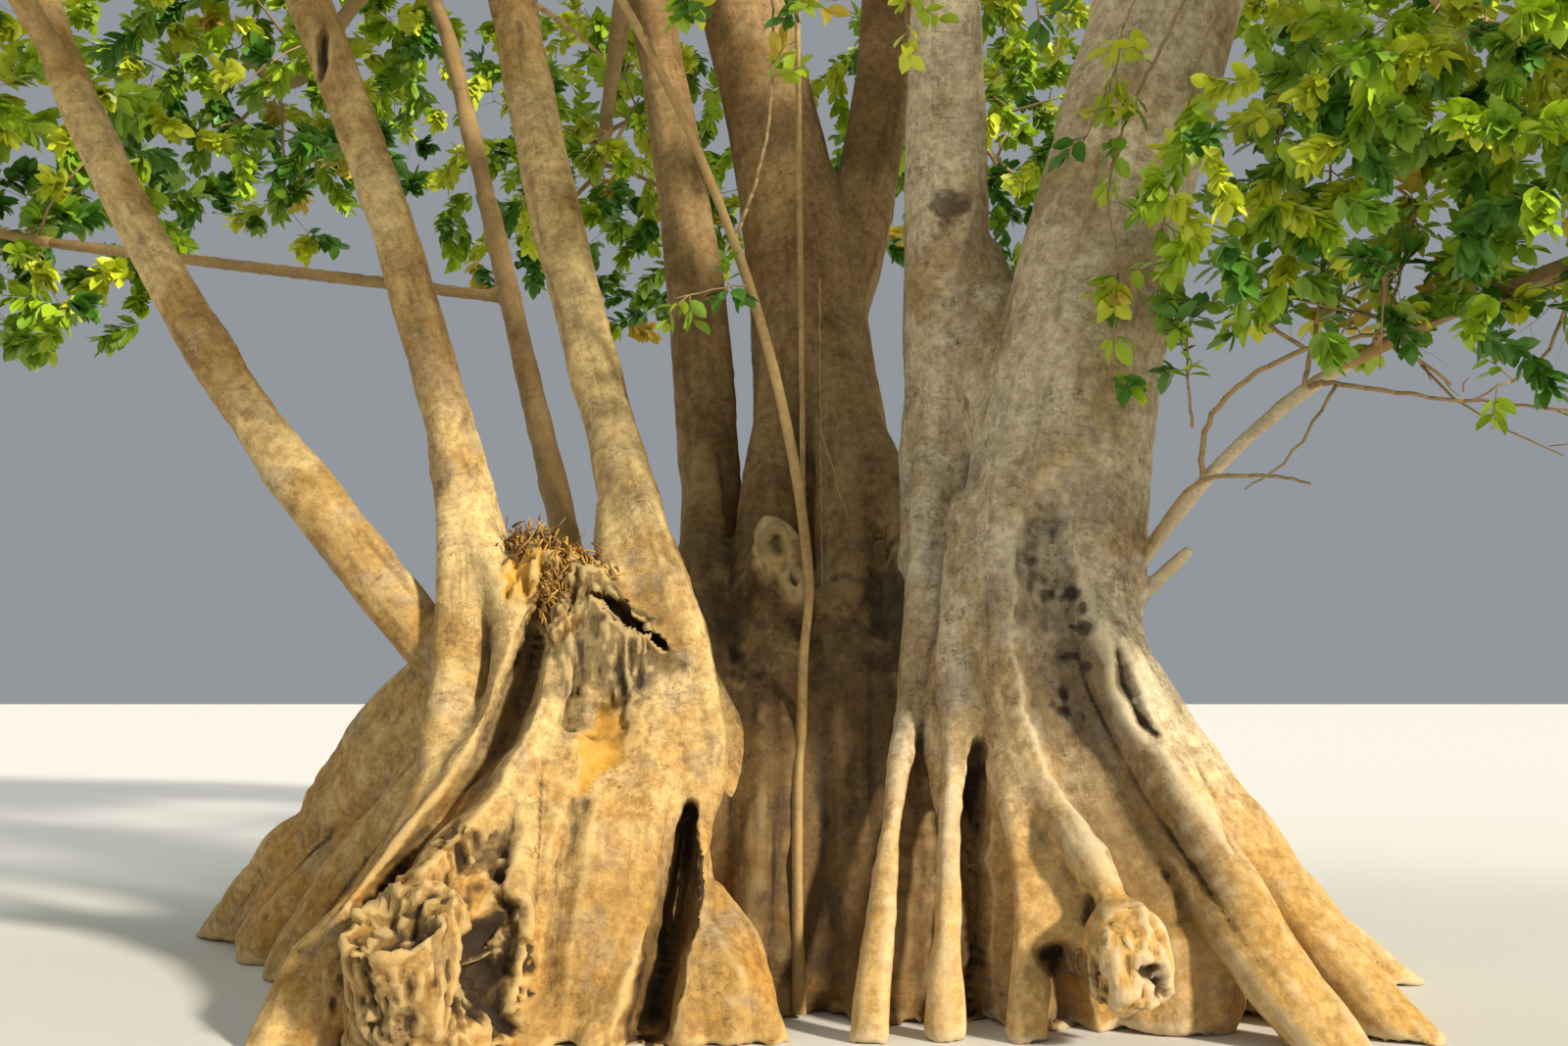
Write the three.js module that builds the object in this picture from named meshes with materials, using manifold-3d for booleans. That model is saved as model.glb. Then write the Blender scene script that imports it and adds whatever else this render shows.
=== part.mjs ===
// A wide old fig tree: stems fused at the foot into one fluted trunk, boughs above it, and a broad crown of
// leaf masses. Millimetres, +Z up, origin at the middle of the flat cut at ground level. The side that the
// view shows is towards -Y.
import * as THREE from "three";
import { mergeVertices } from "three/addons/utils/BufferGeometryUtils.js";
import Module from "manifold-3d";

const wasm = await Module();
wasm.setup();

// Driving sizes
const jointGap = 0.3; // between a limb and what carries it
const limbSides = 8;
const rootSides = 6;
const rootSteps = 3;
const twigSides = 3;
const stepLength = 800; // along a limb, between two rings of its faces
const forkClearance = 60; // free space between two limbs where their own nodes start
const rootsEndBelow = 120; // the roots run this far under the cut before they are trimmed
const bark = { color: 0xa89678, roughness: 0.85 };
const darkBark = { color: 0x8f7f66, roughness: 0.9 };
const foliage = { color: 0x6f9a2c, roughness: 0.6 };

// Upright masses of wood that the roots and stems grow from: [x, y, z] at the foot and at the top
const cores = [
  { name: "right_core", foot: [1150, -800, -50], tip: [1000, -830, 2300], girth: [950, 400], flare: 1.5 },
  { name: "left_core", foot: [-1250, -950, -50], tip: [-1180, -900, 1750], girth: [800, 380], flare: 1.1 },
  { name: "centre_core", foot: [-100, 500, -50], tip: [-150, 800, 1800], girth: [1250, 640], flare: 1.2 },
  { name: "heart", foot: [0, -350, -50], tip: [0, -150, 1150], girth: [1050, 620] },
];

// Stems: centre line from foot to tip, bowed at the middle, with radii at both ends
const stems = [
  { name: "far_left_stem", foot: [-1450, -1000, 1050], tip: [-4540, -700, 5600],
    bow: [-350, 0, 0], girth: [150, 112] },
  { name: "left_stem", foot: [-1590, -1050, 600], tip: [-3500, -600, 6500],
    bow: [282, 0, 0], girth: [215, 116], flare: 2.5 },
  { name: "small_stem", foot: [-1170, -500, 1000], tip: [-2570, 1100, 5900],
    bow: [0, 100, 0], girth: [95, 58] },
  { name: "mid_left_stem", foot: [-610, -750, 900], tip: [-2170, 0, 6900],
    bow: [-124, 0, 0], girth: [240, 131], flare: 2.8 },
  { name: "back_left_stem", foot: [-740, 600, 900], tip: [-1450, 1600, 7300],
    bow: [211, 0, 0], girth: [216, 150] },
  { name: "centre_stem", foot: [-70, 850, 0], tip: [-840, 1500, 7200],
    bow: [364, 0, 0], girth: [780, 290], flare: 2 },
  { name: "centre_right_stem", foot: [640, -50, 600], tip: [618, -1000, 7400],
    bow: [-17, 150, 0], girth: [323, 140] },
  { name: "right_stem", foot: [850, -820, 0], tip: [2520, -700, 7200],
    bow: [-328, 0, 0], girth: [750, 395], flare: 3.2 },
  { name: "centre_fork_stem", on: "centre_stem", at: 0.5, tip: [401, 2000, 7600],
    bow: [220, -100, 100], girth: [225, 155] },
];

// Buttress roots: where each leaves the wood, where its end meets the ground, and how it spreads on the way
const roots = [
  { top: [-1720, -1100, 1500], foot: [-2620, -2150], girth: [235, 70], spread: 1.6 },
  { top: [-1800, -900, 1950], foot: [-3900, 1050], girth: [230, 120], spread: 1.1, deep: 1.6 },
  { top: [-1350, -950, 1750], foot: [-1800, -1850], girth: [300, 150], spread: 1.5 },
  { top: [-1080, -950, 1900], foot: [-1430, -2000], girth: [340, 180], spread: 1.5 },
  { top: [-900, -1000, 1850], foot: [-1080, -2060], girth: [240, 130], spread: 1.4 },
  { top: [-700, -1080, 1750], foot: [-690, -1950], girth: [160, 110], spread: 1.1 },
  { top: [-660, -1500, 600], foot: [-330, -1950], girth: [150, 90], spread: 0.8 },
  { top: [-200, 400, 1700], foot: [-330, -1150], girth: [360, 220], spread: 1.2 },
  { top: [250, -200, 1650], foot: [150, -1450], girth: [330, 200], spread: 1.2 },
  { top: [640, -850, 1900], foot: [20, -1900], girth: [150, 95], spread: 0.9 },
  { top: [540, -1080, 1900], foot: [400, -1980], girth: [170, 90], spread: 1.0 },
  { top: [780, -1050, 2150], foot: [720, -2100], girth: [250, 140], spread: 1.3 },
  { top: [960, -1250, 1650], foot: [1130, -2150], girth: [170, 110], spread: 1.2 },
  { top: [1000, -1150, 2300], foot: [1640, -2150], girth: [270, 140], spread: 1.7 },
  { top: [1130, -1080, 2350], foot: [2100, -2200], girth: [260, 130], spread: 1.6 },
  { top: [1250, -930, 2300], foot: [2540, -1950], girth: [220, 120], spread: 1.6 },
  { top: [1300, -650, 2100], foot: [3050, -550], girth: [270, 100], spread: 1.7, deep: 1.4 },
  { top: [1250, -400, 1950], foot: [2650, 1300], girth: [270, 100], spread: 1.6, deep: 1.4 },
  { top: [350, 950, 1800], foot: [1350, 2900], girth: [300, 110], spread: 1.6, deep: 1.4 },
  { top: [-250, 1200, 1900], foot: [-500, 3150], girth: [300, 110], spread: 1.7, deep: 1.4 },
  { top: [-850, 850, 1700], foot: [-2200, 2550], girth: [280, 100], spread: 1.6, deep: 1.4 },
];

// Short fused pieces of the trunk: the web in the right-hand crook, the broken plate, the cut root end,
// the burl and a dead stub
const stubs = [
  { name: "crook_web", foot: [700, -300, 4000], tip: [1050, -620, 2700], girth: [215, 330] },
  { name: "broken_plate", foot: [-1180, -1000, 900], tip: [-1270, -1060, 2150],
    bow: [0, -60, 0], girth: [330, 110] },
  { name: "broken_root", foot: [-1780, -1980, -60], tip: [-1900, -2330, 590], girth: [310, 235] },
  { name: "burl", foot: [1040, -1650, 880], tip: [1160, -2170, 400], bow: [0, -40, 30], girth: [100, 220] },
  { name: "dead_stub", foot: [1300, -860, 1780], tip: [1770, -1070, 2250], girth: [60, 34] },
];

// Aerial roots that have rooted in the hollow of the trunk and run up to the boughs
const aerialRoots = [
  { name: "slanting_aerial_root", foot: [-200, -400, 1000], tip: [-1440, -1600, 5500],
    bow: [450, -50, 0], girth: [31, 26] },
  { name: "hanging_aerial_root", foot: [-180, -60, 900], tip: [-240, -560, 6300],
    bow: [10, 80, 0], girth: [26, 24] },
];

// Masses of leaves: the stem each bough leaves, how far up it, the middle of the mass and its half-widths
const masses = [
  { name: "left", on: "far_left_stem", at: 1, centre: [-6600, -1000, 7300], reach: [1900, 2000, 1700] },
  { name: "front_left", on: "far_left_stem", at: 0.84, centre: [-5200, -4200, 6900],
    reach: [2100, 2000, 1700] },
  { name: "left_upper", on: "left_stem", at: 1, centre: [-5200, 200, 9900], reach: [2200, 2200, 1700] },
  { name: "front_left_upper", on: "left_stem", at: 0.88, centre: [-3300, -3400, 9700],
    reach: [2300, 2100, 1800] },
  { name: "left_low", on: "small_stem", at: 0.61, tip: [-5400, 1450, 4620], bow: 0,
    girth: [46, 40], centre: [-6550, 2150, 5250], reach: [1950, 2000, 1600] },
  { name: "back_left", on: "small_stem", at: 1, centre: [-5000, 4800, 7300], reach: [2100, 2000, 1800] },
  { name: "top_left", on: "mid_left_stem", at: 1, centre: [-2400, 400, 11800], reach: [2300, 2200, 1600] },
  { name: "back_left_upper", on: "back_left_stem", at: 1, centre: [-3000, 3600, 10000],
    reach: [2300, 2100, 1700] },
  { name: "back_left_low", on: "back_left_stem", at: 0.92, centre: [-2200, 6300, 6900],
    reach: [2100, 1900, 2000] },
  { name: "top", on: "centre_stem", at: 1, centre: [600, 1000, 12600], reach: [2300, 2200, 1500] },
  { name: "back_upper", on: "centre_stem", at: 0.9, centre: [0, 4400, 10600], reach: [2200, 2000, 1700] },
  { name: "back", on: "centre_fork_stem", at: 0.82, centre: [1700, 6400, 7300], reach: [2100, 1900, 2000] },
  { name: "back_right_upper", on: "centre_fork_stem", at: 1, centre: [3300, 3200, 10400],
    reach: [2200, 2100, 1700] },
  { name: "front_upper", on: "centre_right_stem", at: 1, centre: [100, -3600, 10600],
    reach: [2400, 2100, 1700] },
  { name: "front", on: "centre_right_stem", at: 0.84, centre: [-1600, -6000, 7800],
    reach: [2300, 1800, 1700] },
  { name: "right_upper", on: "right_stem", at: 1, centre: [4600, -400, 10300], reach: [2300, 2200, 1700] },
  { name: "right", on: "right_stem", at: 0.8, centre: [7000, -800, 7200], reach: [1900, 2100, 1800] },
  { name: "front_right", on: "right_stem", at: 0.93, centre: [2600, -5600, 8000],
    reach: [2300, 1900, 1700] },
  { name: "front_right_low", on: "right_stem", at: 0.76, centre: [5300, -4200, 6600],
    reach: [2100, 2000, 1700] },
  { name: "back_right", on: "right_stem", at: 0.86, centre: [5600, 3800, 7400], reach: [2200, 2100, 1800] },
  { name: "right_low", on: "trunk", from: [1300, -880, 1820], tip: [2410, -1650, 3090], bow: 170,
    girth: [42, 36], centre: [3800, -2500, 3650], reach: [2800, 1500, 1300] },
];

// The rule by which each mass branches, the same for all
const rule = {
  seed: 4049,
  boughShare: 0.62, // a bough from a stem's side starts with this share of its stem's radius there
  tipShare: 0.95, // and a bough that goes on from its tip with this share
  rise: 0.06,
  boughTip: 70, // radius where a bough enters its mass
  entry: 0.62, // a bough ends at this share of the reach from the middle of its mass
  beyond: 0.3, // the leafy stem runs this share of the reach past the middle
  stemTip: 50,
  twigs: 8,
  twigGirth: 30,
  twigLean: 0.35, // a twig leaves the wood this share of its length before the nearest point
  sprayLength: 1250,
  sprayWidth: 700,
  sprayThickness: 90,
  sprayOverTwig: 0.24, // a spray takes in the end of its twig over this share of its length
  sideSprays: [0.42, 0.62], // where on a twig its side spray may stand
  sideSprayLean: 1.1,
  sideSpraySize: 0.85,
  skin: 0.95, // share of the reach where the outermost sprays end
  droop: 0.15,
  clearance: 30,
};

const vector = (a) => new THREE.Vector3(...a);
const up = new THREE.Vector3(0, 0, 1);
const mix = THREE.MathUtils.lerp;

// A limb's centre line is a quadratic curve whose middle stands off the straight line by the bow.
function bowedLine(foot, tip, bow) {
  const middle = foot.clone().add(tip).multiplyScalar(0.5).addScaledVector(bow, 2);
  return new THREE.QuadraticBezierCurve3(foot, middle, tip);
}

// A limb knows its centre line, its radius along it and the sideways direction of its section.
function makeLimb({ name, foot, tip, bow = [0, 0, 0], girth, flare = 1, deep = 1, sides = limbSides }) {
  const line = bowedLine(vector(foot), vector(tip), vector(bow));
  return {
    name,
    sides,
    deep,
    children: [],
    point: (t) => line.getPoint(t),
    heading: (t) => line.getTangent(t),
    radius: (t) => mix(girth[1], girth[0], Math.pow(1 - t, flare)),
    length: line.getLength(),
    side: sideways(vector(tip).sub(vector(foot))),
    start: 0,
  };
}

// A root drops evenly while it spreads outwards ever faster, to end under the cut.
function makeRoot({ top, foot, girth, spread, deep = 1 }) {
  const outward = vector([foot[0] - top[0], foot[1] - top[1], 0]);
  const height = (t) => mix(top[2], -rootsEndBelow, t);
  const at = (t) => vector(top).addScaledVector(outward, Math.pow(t, spread)).setZ(height(t));
  const step = 0.01;
  return {
    sides: rootSides,
    deep,
    children: [],
    point: at,
    heading: (t) => at(Math.min(1, t + step)).sub(at(Math.max(0, t - step))).normalize(),
    radius: (t) => mix(girth[0], girth[1], t) * Math.min(1, 0.4 + 1.8 * t),
    length: at(0).distanceTo(at(1)),
    side: sideways(outward),
    start: 0,
  };
}

function sideways(direction) {
  const flat = new THREE.Vector3(direction.x, direction.y, 0);
  return flat.length() < 1 ? new THREE.Vector3(1, 0, 0) : flat.cross(up).normalize();
}

// A closed solid from a closed three.js geometry
function solidFrom(geometry) {
  const plain = geometry.clone();
  plain.deleteAttribute("normal");
  plain.deleteAttribute("uv");
  const merged = mergeVertices(plain, 1e-3);
  return new wasm.Manifold(
    new wasm.Mesh({
      numProp: 3,
      vertProperties: new Float32Array(merged.attributes.position.array),
      triVerts: new Uint32Array(merged.index.array),
    }),
  );
}

// A stretch of a limb: a cylinder bent on to the centre line, ring by ring
function stretchOf(limb, from, to, steps) {
  const geometry = new THREE.CylinderGeometry(1, 1, 1, limb.sides, steps);
  const place = geometry.attributes.position;
  for (let i = 0; i < place.count; i++) {
    const t = mix(from, to, place.getY(i) + 0.5);
    const heading = limb.heading(t);
    const across = limb.side.clone().addScaledVector(heading, -limb.side.dot(heading)).normalize();
    const inPlane = across.clone().cross(heading);
    const radius = limb.radius(t);
    const p = limb.point(t)
      .addScaledVector(across, place.getX(i) * radius)
      .addScaledVector(inPlane, place.getZ(i) * radius * limb.deep);
    place.setXYZ(i, p.x, p.y, p.z);
  }
  return solidFrom(geometry);
}

function stretch(limb, from, to) {
  return stretchOf(limb, from, to, Math.max(1, Math.round(((to - from) * limb.length) / stepLength)));
}

// Where a limb's own node starts: past the last place where it is close to any of the others
function startClearOf(limb, others) {
  const samples = 120;
  const near = (t) => {
    const p = limb.point(t);
    return others.some((other) => {
      for (let i = 0; i <= samples; i++) {
        const s = i / samples;
        const wide = limb.radius(t) + other.radius(s) * other.deep + forkClearance;
        if (other.point(s).distanceToSquared(p) < wide * wide) return true;
      }
      return false;
    });
  };
  let start = 0;
  for (let i = 0; i < samples; i++) if (near(i / samples)) start = (i + 1) / samples;
  return start;
}

// The limbs, from the ground up
const coreLimbs = cores.map(makeLimb);
const rootLimbs = roots.map(makeRoot);
const stubLimbs = stubs.map(makeLimb);
const limbs = new Map();
for (const stem of stems.filter((s) => !s.on)) limbs.set(stem.name, makeLimb(stem));
for (const stem of stems.filter((s) => s.on)) {
  const carrier = limbs.get(stem.on);
  const limb = makeLimb({ ...stem, foot: carrier.point(stem.at).toArray() });
  limbs.set(stem.name, limb);
  carrier.children.push(limb);
}
const footLimbs = stems.filter((s) => !s.on).map((s) => limbs.get(s.name));
const aerialLimbs = aerialRoots.map((a) => makeLimb({ ...a, sides: 6 }));

// The bough of a mass ends at the entry of the mass, on the way to its middle. From a stem's side it rises a
// little, and from a stem's tip it goes on in the stem's own direction.
function boughOf(mass) {
  const centre = vector(mass.centre);
  const carrier = limbs.get(mass.on);
  const foot = mass.from ? vector(mass.from) : carrier.point(mass.at);
  const back = foot.clone().sub(centre).normalize();
  const reachThatWay = 1 / back.clone().divide(vector(mass.reach)).length();
  const entry = centre.clone().addScaledVector(back, reachThatWay * rule.entry);
  const tip = mass.tip ? vector(mass.tip) : entry;
  const span = tip.clone().sub(foot);
  const rise = up.clone().multiplyScalar(mass.bow ?? span.length() * rule.rise);
  const goesOn = mass.at === 1;
  const onward = () => carrier.heading(1).multiplyScalar(span.length() * 0.2).addScaledVector(span, -0.25);
  const bow = goesOn ? onward() : rise;
  const share = goesOn ? rule.tipShare : rule.boughShare;
  const girth = mass.girth ?? [carrier.radius(mass.at) * share, rule.boughTip];
  const name = mass.name + "_bough";
  return makeLimb({ name, foot: foot.toArray(), tip: tip.toArray(), bow: bow.toArray(), girth, sides: 6 });
}

const trunkLimbs = [...coreLimbs, ...rootLimbs, ...stubLimbs, ...footLimbs];
const boughs = masses.map(boughOf);
masses.forEach((mass, i) => limbs.get(mass.on)?.children.push(boughs[i]));
for (const limb of [...footLimbs, ...aerialLimbs]) {
  limb.start = startClearOf(limb, trunkLimbs.filter((other) => other !== limb));
}
masses.forEach((mass, i) => {
  if (!limbs.has(mass.on)) boughs[i].start = startClearOf(boughs[i], trunkLimbs);
});
for (const limb of limbs.values())
  for (const child of limb.children) {
    const siblings = limb.children.filter((other) => other !== child);
    child.start = startClearOf(child, [limb, ...siblings]);
  }

const gapShare = (limb) => jointGap / limb.length;
const stubOf = (limb) => stretch(limb, 0, limb.start - gapShare(limb) / 2);

// A limb's node holds its own wood past its start and the first stretch of each limb that leaves it.
function limbSolid(limb) {
  const own = stretch(limb, limb.start + gapShare(limb) / 2, 1);
  return wasm.Manifold.union([own, ...limb.children.map(stubOf)]);
}

function trunkSolid() {
  const fused = [
    ...coreLimbs.map((limb) => stretch(limb, 0, 1)),
    ...rootLimbs.map((limb) => stretchOf(limb, 0, 1, rootSteps)),
    ...stubLimbs.map((limb) => stretch(limb, 0, 1)),
    ...[...footLimbs, ...aerialLimbs].map(stubOf),
    ...boughs.filter((_, i) => !limbs.has(masses[i].on)).map(stubOf),
  ];
  const groundBlock = new THREE.BoxGeometry(20000, 20000, 4000).translate(0, 0, -2000);
  return wasm.Manifold.union(fused).subtract(solidFrom(groundBlock));
}

// Seeded draws between 0 and 1, a plain congruential row that any language can repeat
function drawsFrom(seed) {
  let state = seed >>> 0;
  return () => {
    state = (Math.imul(1664525, state) + 1013904223) >>> 0;
    return state / 4294967296;
  };
}

// How deep a point lies in a mass: 0 at its middle, 1 at its skin
const depthIn = (mass, p) => vector(mass.centre).sub(p).divide(vector(mass.reach)).length();

const allLimbs = [...trunkLimbs, ...limbs.values(), ...boughs, ...aerialLimbs];

// A point is free for a mass if it is inside its skin, nearer to it than to any other, and off every limb.
function isFree(mass, p, width) {
  const own = depthIn(mass, p);
  const keep = 0.04;
  if (own > 1 - keep / 2) return false;
  if (masses.some((other) => other !== mass && depthIn(other, p) < own + keep)) return false;
  return !allLimbs.some((limb) => touches(limb, p, width + rule.clearance));
}

function touches(limb, p, width) {
  const samples = 24;
  const slack = (limb.length / samples) * 0.25;
  for (let i = 0; i <= samples; i++) {
    const t = i / samples;
    if (limb.point(t).distanceTo(p) < limb.radius(t) * limb.deep + width + slack) return true;
  }
  return false;
}

const lineIsFree = (mass, a, b, width) =>
  [0.35, 0.7, 1].every((t) => isFree(mass, a.clone().lerp(b, t), width));

// A straight twig that ends in a point
function twig(from, to, girth) {
  const length = from.distanceTo(to);
  const shape = new THREE.ConeGeometry(girth, length, twigSides, 1);
  return solidFrom(aimed(shape.translate(0, length / 2, 0), from, to.clone().sub(from).normalize()));
}

function aimed(shape, from, direction) {
  shape.applyQuaternion(new THREE.Quaternion().setFromUnitVectors(new THREE.Vector3(0, 1, 0), direction));
  return shape.translate(from.x, from.y, from.z);
}

// A spray of leaves is one pointed leaf of eight faces, with its base on the axis of its twig.
function spray(base, outward, size, roll) {
  const shape = new THREE.OctahedronGeometry(0.5, 0);
  shape.scale(rule.sprayWidth * size, rule.sprayLength * size, rule.sprayThickness * size);
  shape.translate(0, 0.5 * rule.sprayLength * size, 0);
  return solidFrom(aimed(shape.rotateY(roll), base, outward));
}

// The points of a spray that must stay inside its mass
function sprayReach(base, outward, size) {
  const across = sideways(outward).multiplyScalar(0.5 * rule.sprayWidth * size);
  const middle = base.clone().addScaledVector(outward, 0.5 * rule.sprayLength * size);
  return [
    base.clone().addScaledVector(outward, rule.sprayLength * size),
    middle.clone().add(across),
    middle.clone().sub(across),
  ];
}

// Directions spread evenly over a ball, turned by a seeded angle
function evenDirections(count, turn) {
  const goldenAngle = Math.PI * (3 - Math.sqrt(5));
  return Array.from({ length: count }, (_, i) => {
    const z = 1 - (2 * (i + 0.5)) / count;
    const flat = Math.sqrt(1 - z * z);
    const angle = goldenAngle * i + turn;
    return new THREE.Vector3(Math.cos(angle) * flat, Math.sin(angle) * flat, z);
  });
}

// The leafy stem of a mass goes on from the bough's tip, in its direction, past the middle of the mass.
function leafyStem(mass) {
  const bough = mass.limb;
  const heading = bough.heading(1);
  const root = bough.point(1).addScaledVector(heading, jointGap);
  const centre = vector(mass.centre);
  const inward = centre.clone().sub(root).normalize();
  const end = centre.clone().addScaledVector(inward.multiply(vector(mass.reach)), rule.beyond);
  const bend = root.clone().addScaledVector(heading, 0.4 * root.distanceTo(end));
  const line = new THREE.QuadraticBezierCurve3(root, bend, end);
  return {
    sides: bough.sides,
    deep: 1,
    length: root.distanceTo(end),
    side: bough.side,
    point: (t) => line.getPoint(t),
    heading: (t) => line.getTangent(t),
    radius: (t) => mix(bough.radius(1) * 0.96, Math.min(rule.stemTip, bough.radius(1)), t),
  };
}

// A twig ends where a spray over its tip just reaches the skin of its mass.
function twigTip(mass, direction) {
  const arm = direction.clone().multiply(vector(mass.reach));
  const length = rule.skin * arm.length() - (1 - rule.sprayOverTwig) * rule.sprayLength;
  return vector(mass.centre).add(arm.setLength(Math.max(0.3 * arm.length(), length)));
}

// The point of a grown line where a twig to the tip leaves it, some way before the point nearest to the tip
function twigFoot(line, tip) {
  const along = line.to.clone().sub(line.from);
  const nearest = tip.clone().sub(line.from).dot(along) / along.lengthSq();
  const off = line.from.clone().lerp(line.to, nearest).distanceTo(tip);
  const share = THREE.MathUtils.clamp(nearest - (rule.twigLean * off) / along.length(), line.bare, 0.9);
  return { point: line.from.clone().lerp(line.to, share), girth: mix(line.girth, line.tipGirth, share) };
}

// The twigs of a mass go out evenly to all sides. Each leaves the wood that is nearest to where it ends.
function growMass(mass, index) {
  const draw = drawsFrom(rule.seed + 97 * index);
  const stem = leafyStem(mass);
  const pieces = [stretchOf(stem, 0, 1, 2)];
  const lines = [0, 0.5].map((t) => ({
    from: stem.point(t),
    to: stem.point(t + 0.5),
    girth: stem.radius(t),
    tipGirth: stem.radius(t + 0.5),
    bare: 0.15,
  }));
  for (const direction of evenDirections(rule.twigs, draw() * Math.PI * 2)) {
    const tip = twigTip(mass, direction);
    const feet = lines.map((line) => twigFoot(line, tip));
    const foot = feet.reduce((a, b) => (a.point.distanceTo(tip) < b.point.distanceTo(tip) ? a : b));
    const girth = Math.min(rule.twigGirth, 0.75 * foot.girth);
    const chances = [draw(), draw(), draw(), draw()];
    if (!lineIsFree(mass, foot.point, tip, girth)) continue;
    pieces.push(twig(foot.point, tip, girth));
    lines.push({ from: foot.point, to: tip, girth, tipGirth: 0, bare: 0.3 });
    pieces.push(...endSpray(mass, foot.point, tip, chances[0]));
    pieces.push(...sideSpray(mass, foot.point, tip, chances));
  }
  return wasm.Manifold.union(pieces);
}

function endSpray(mass, foot, tip, roll) {
  const outward = tip.clone().sub(foot).normalize();
  const base = tip.clone().addScaledVector(outward, -rule.sprayOverTwig * rule.sprayLength);
  const fits = sprayReach(base, outward, 1).every((p) => isFree(mass, p, 0));
  return fits ? [spray(base, outward, 1, roll * Math.PI)] : [];
}

function sideSpray(mass, foot, tip, [roll, place, turn, second]) {
  const outward = tip.clone().sub(foot).normalize();
  const base = foot.clone().lerp(tip, mix(...rule.sideSprays, place));
  for (const angle of [turn, turn + 0.5, second]) {
    const aside = sideways(outward).applyAxisAngle(outward, angle * Math.PI * 2);
    const lean = outward.clone().addScaledVector(aside, rule.sideSprayLean);
    const aim = lean.addScaledVector(up, -rule.droop).normalize();
    const fits = sprayReach(base, aim, rule.sideSpraySize).every((p) => isFree(mass, p, 0));
    if (fits) return [spray(base, aim, rule.sideSpraySize, roll * Math.PI)];
  }
  return [];
}

// Meshes
function geometryOf(solid) {
  const mesh = solid.getMesh();
  const geometry = new THREE.BufferGeometry();
  geometry.setAttribute("position", new THREE.BufferAttribute(new Float32Array(mesh.vertProperties), 3));
  geometry.setIndex(new THREE.BufferAttribute(new Uint32Array(mesh.triVerts), 1));
  geometry.computeVertexNormals();
  return geometry;
}

// Fusing can leave a loose scrap, which is dropped: the largest body is kept.
function largestBody(solid) {
  return solid.decompose().reduce((a, b) => (a.volume() > b.volume() ? a : b));
}

const tree = new THREE.Group();
function add(name, solid, look) {
  const material = new THREE.MeshStandardMaterial({ ...look, metalness: 0 });
  const mesh = new THREE.Mesh(geometryOf(largestBody(solid)), material);
  mesh.name = name;
  tree.add(mesh);
}

masses.forEach((mass, i) => (mass.limb = boughs[i]));
add("trunk", trunkSolid(), bark);
for (const [name, limb] of limbs) add(name, limbSolid(limb), bark);
for (const bough of boughs) add(bough.name, limbSolid(bough), darkBark);
for (const root of aerialLimbs) add(root.name, limbSolid(root), darkBark);
masses.forEach((mass, i) => add(mass.name + "_leaves", growMass(mass, i), foliage));

export default tree;
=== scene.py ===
# A wide old fig: fused, fluted stems under a broad crown. Metres, +Z up, its front faces -Y
import itertools
import math

import bmesh
import bpy
import numpy as np
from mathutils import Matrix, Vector


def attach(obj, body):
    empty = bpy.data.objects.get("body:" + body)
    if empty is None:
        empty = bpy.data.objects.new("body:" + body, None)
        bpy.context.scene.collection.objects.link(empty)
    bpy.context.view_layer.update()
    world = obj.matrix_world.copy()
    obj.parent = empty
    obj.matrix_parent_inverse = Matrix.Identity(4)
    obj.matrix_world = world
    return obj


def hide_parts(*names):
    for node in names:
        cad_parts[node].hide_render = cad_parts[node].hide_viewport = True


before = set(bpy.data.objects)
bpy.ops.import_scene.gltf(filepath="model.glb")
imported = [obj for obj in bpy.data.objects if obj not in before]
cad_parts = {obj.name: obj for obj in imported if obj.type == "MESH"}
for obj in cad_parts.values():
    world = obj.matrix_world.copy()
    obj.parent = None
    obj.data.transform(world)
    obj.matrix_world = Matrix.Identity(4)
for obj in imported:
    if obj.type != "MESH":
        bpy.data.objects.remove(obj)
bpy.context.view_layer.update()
scene = bpy.context.scene
print("frame loaded:", len(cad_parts), "nodes")

# The limbs, as in the part's source: centre lines from foot to tip with radii at both ends

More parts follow.
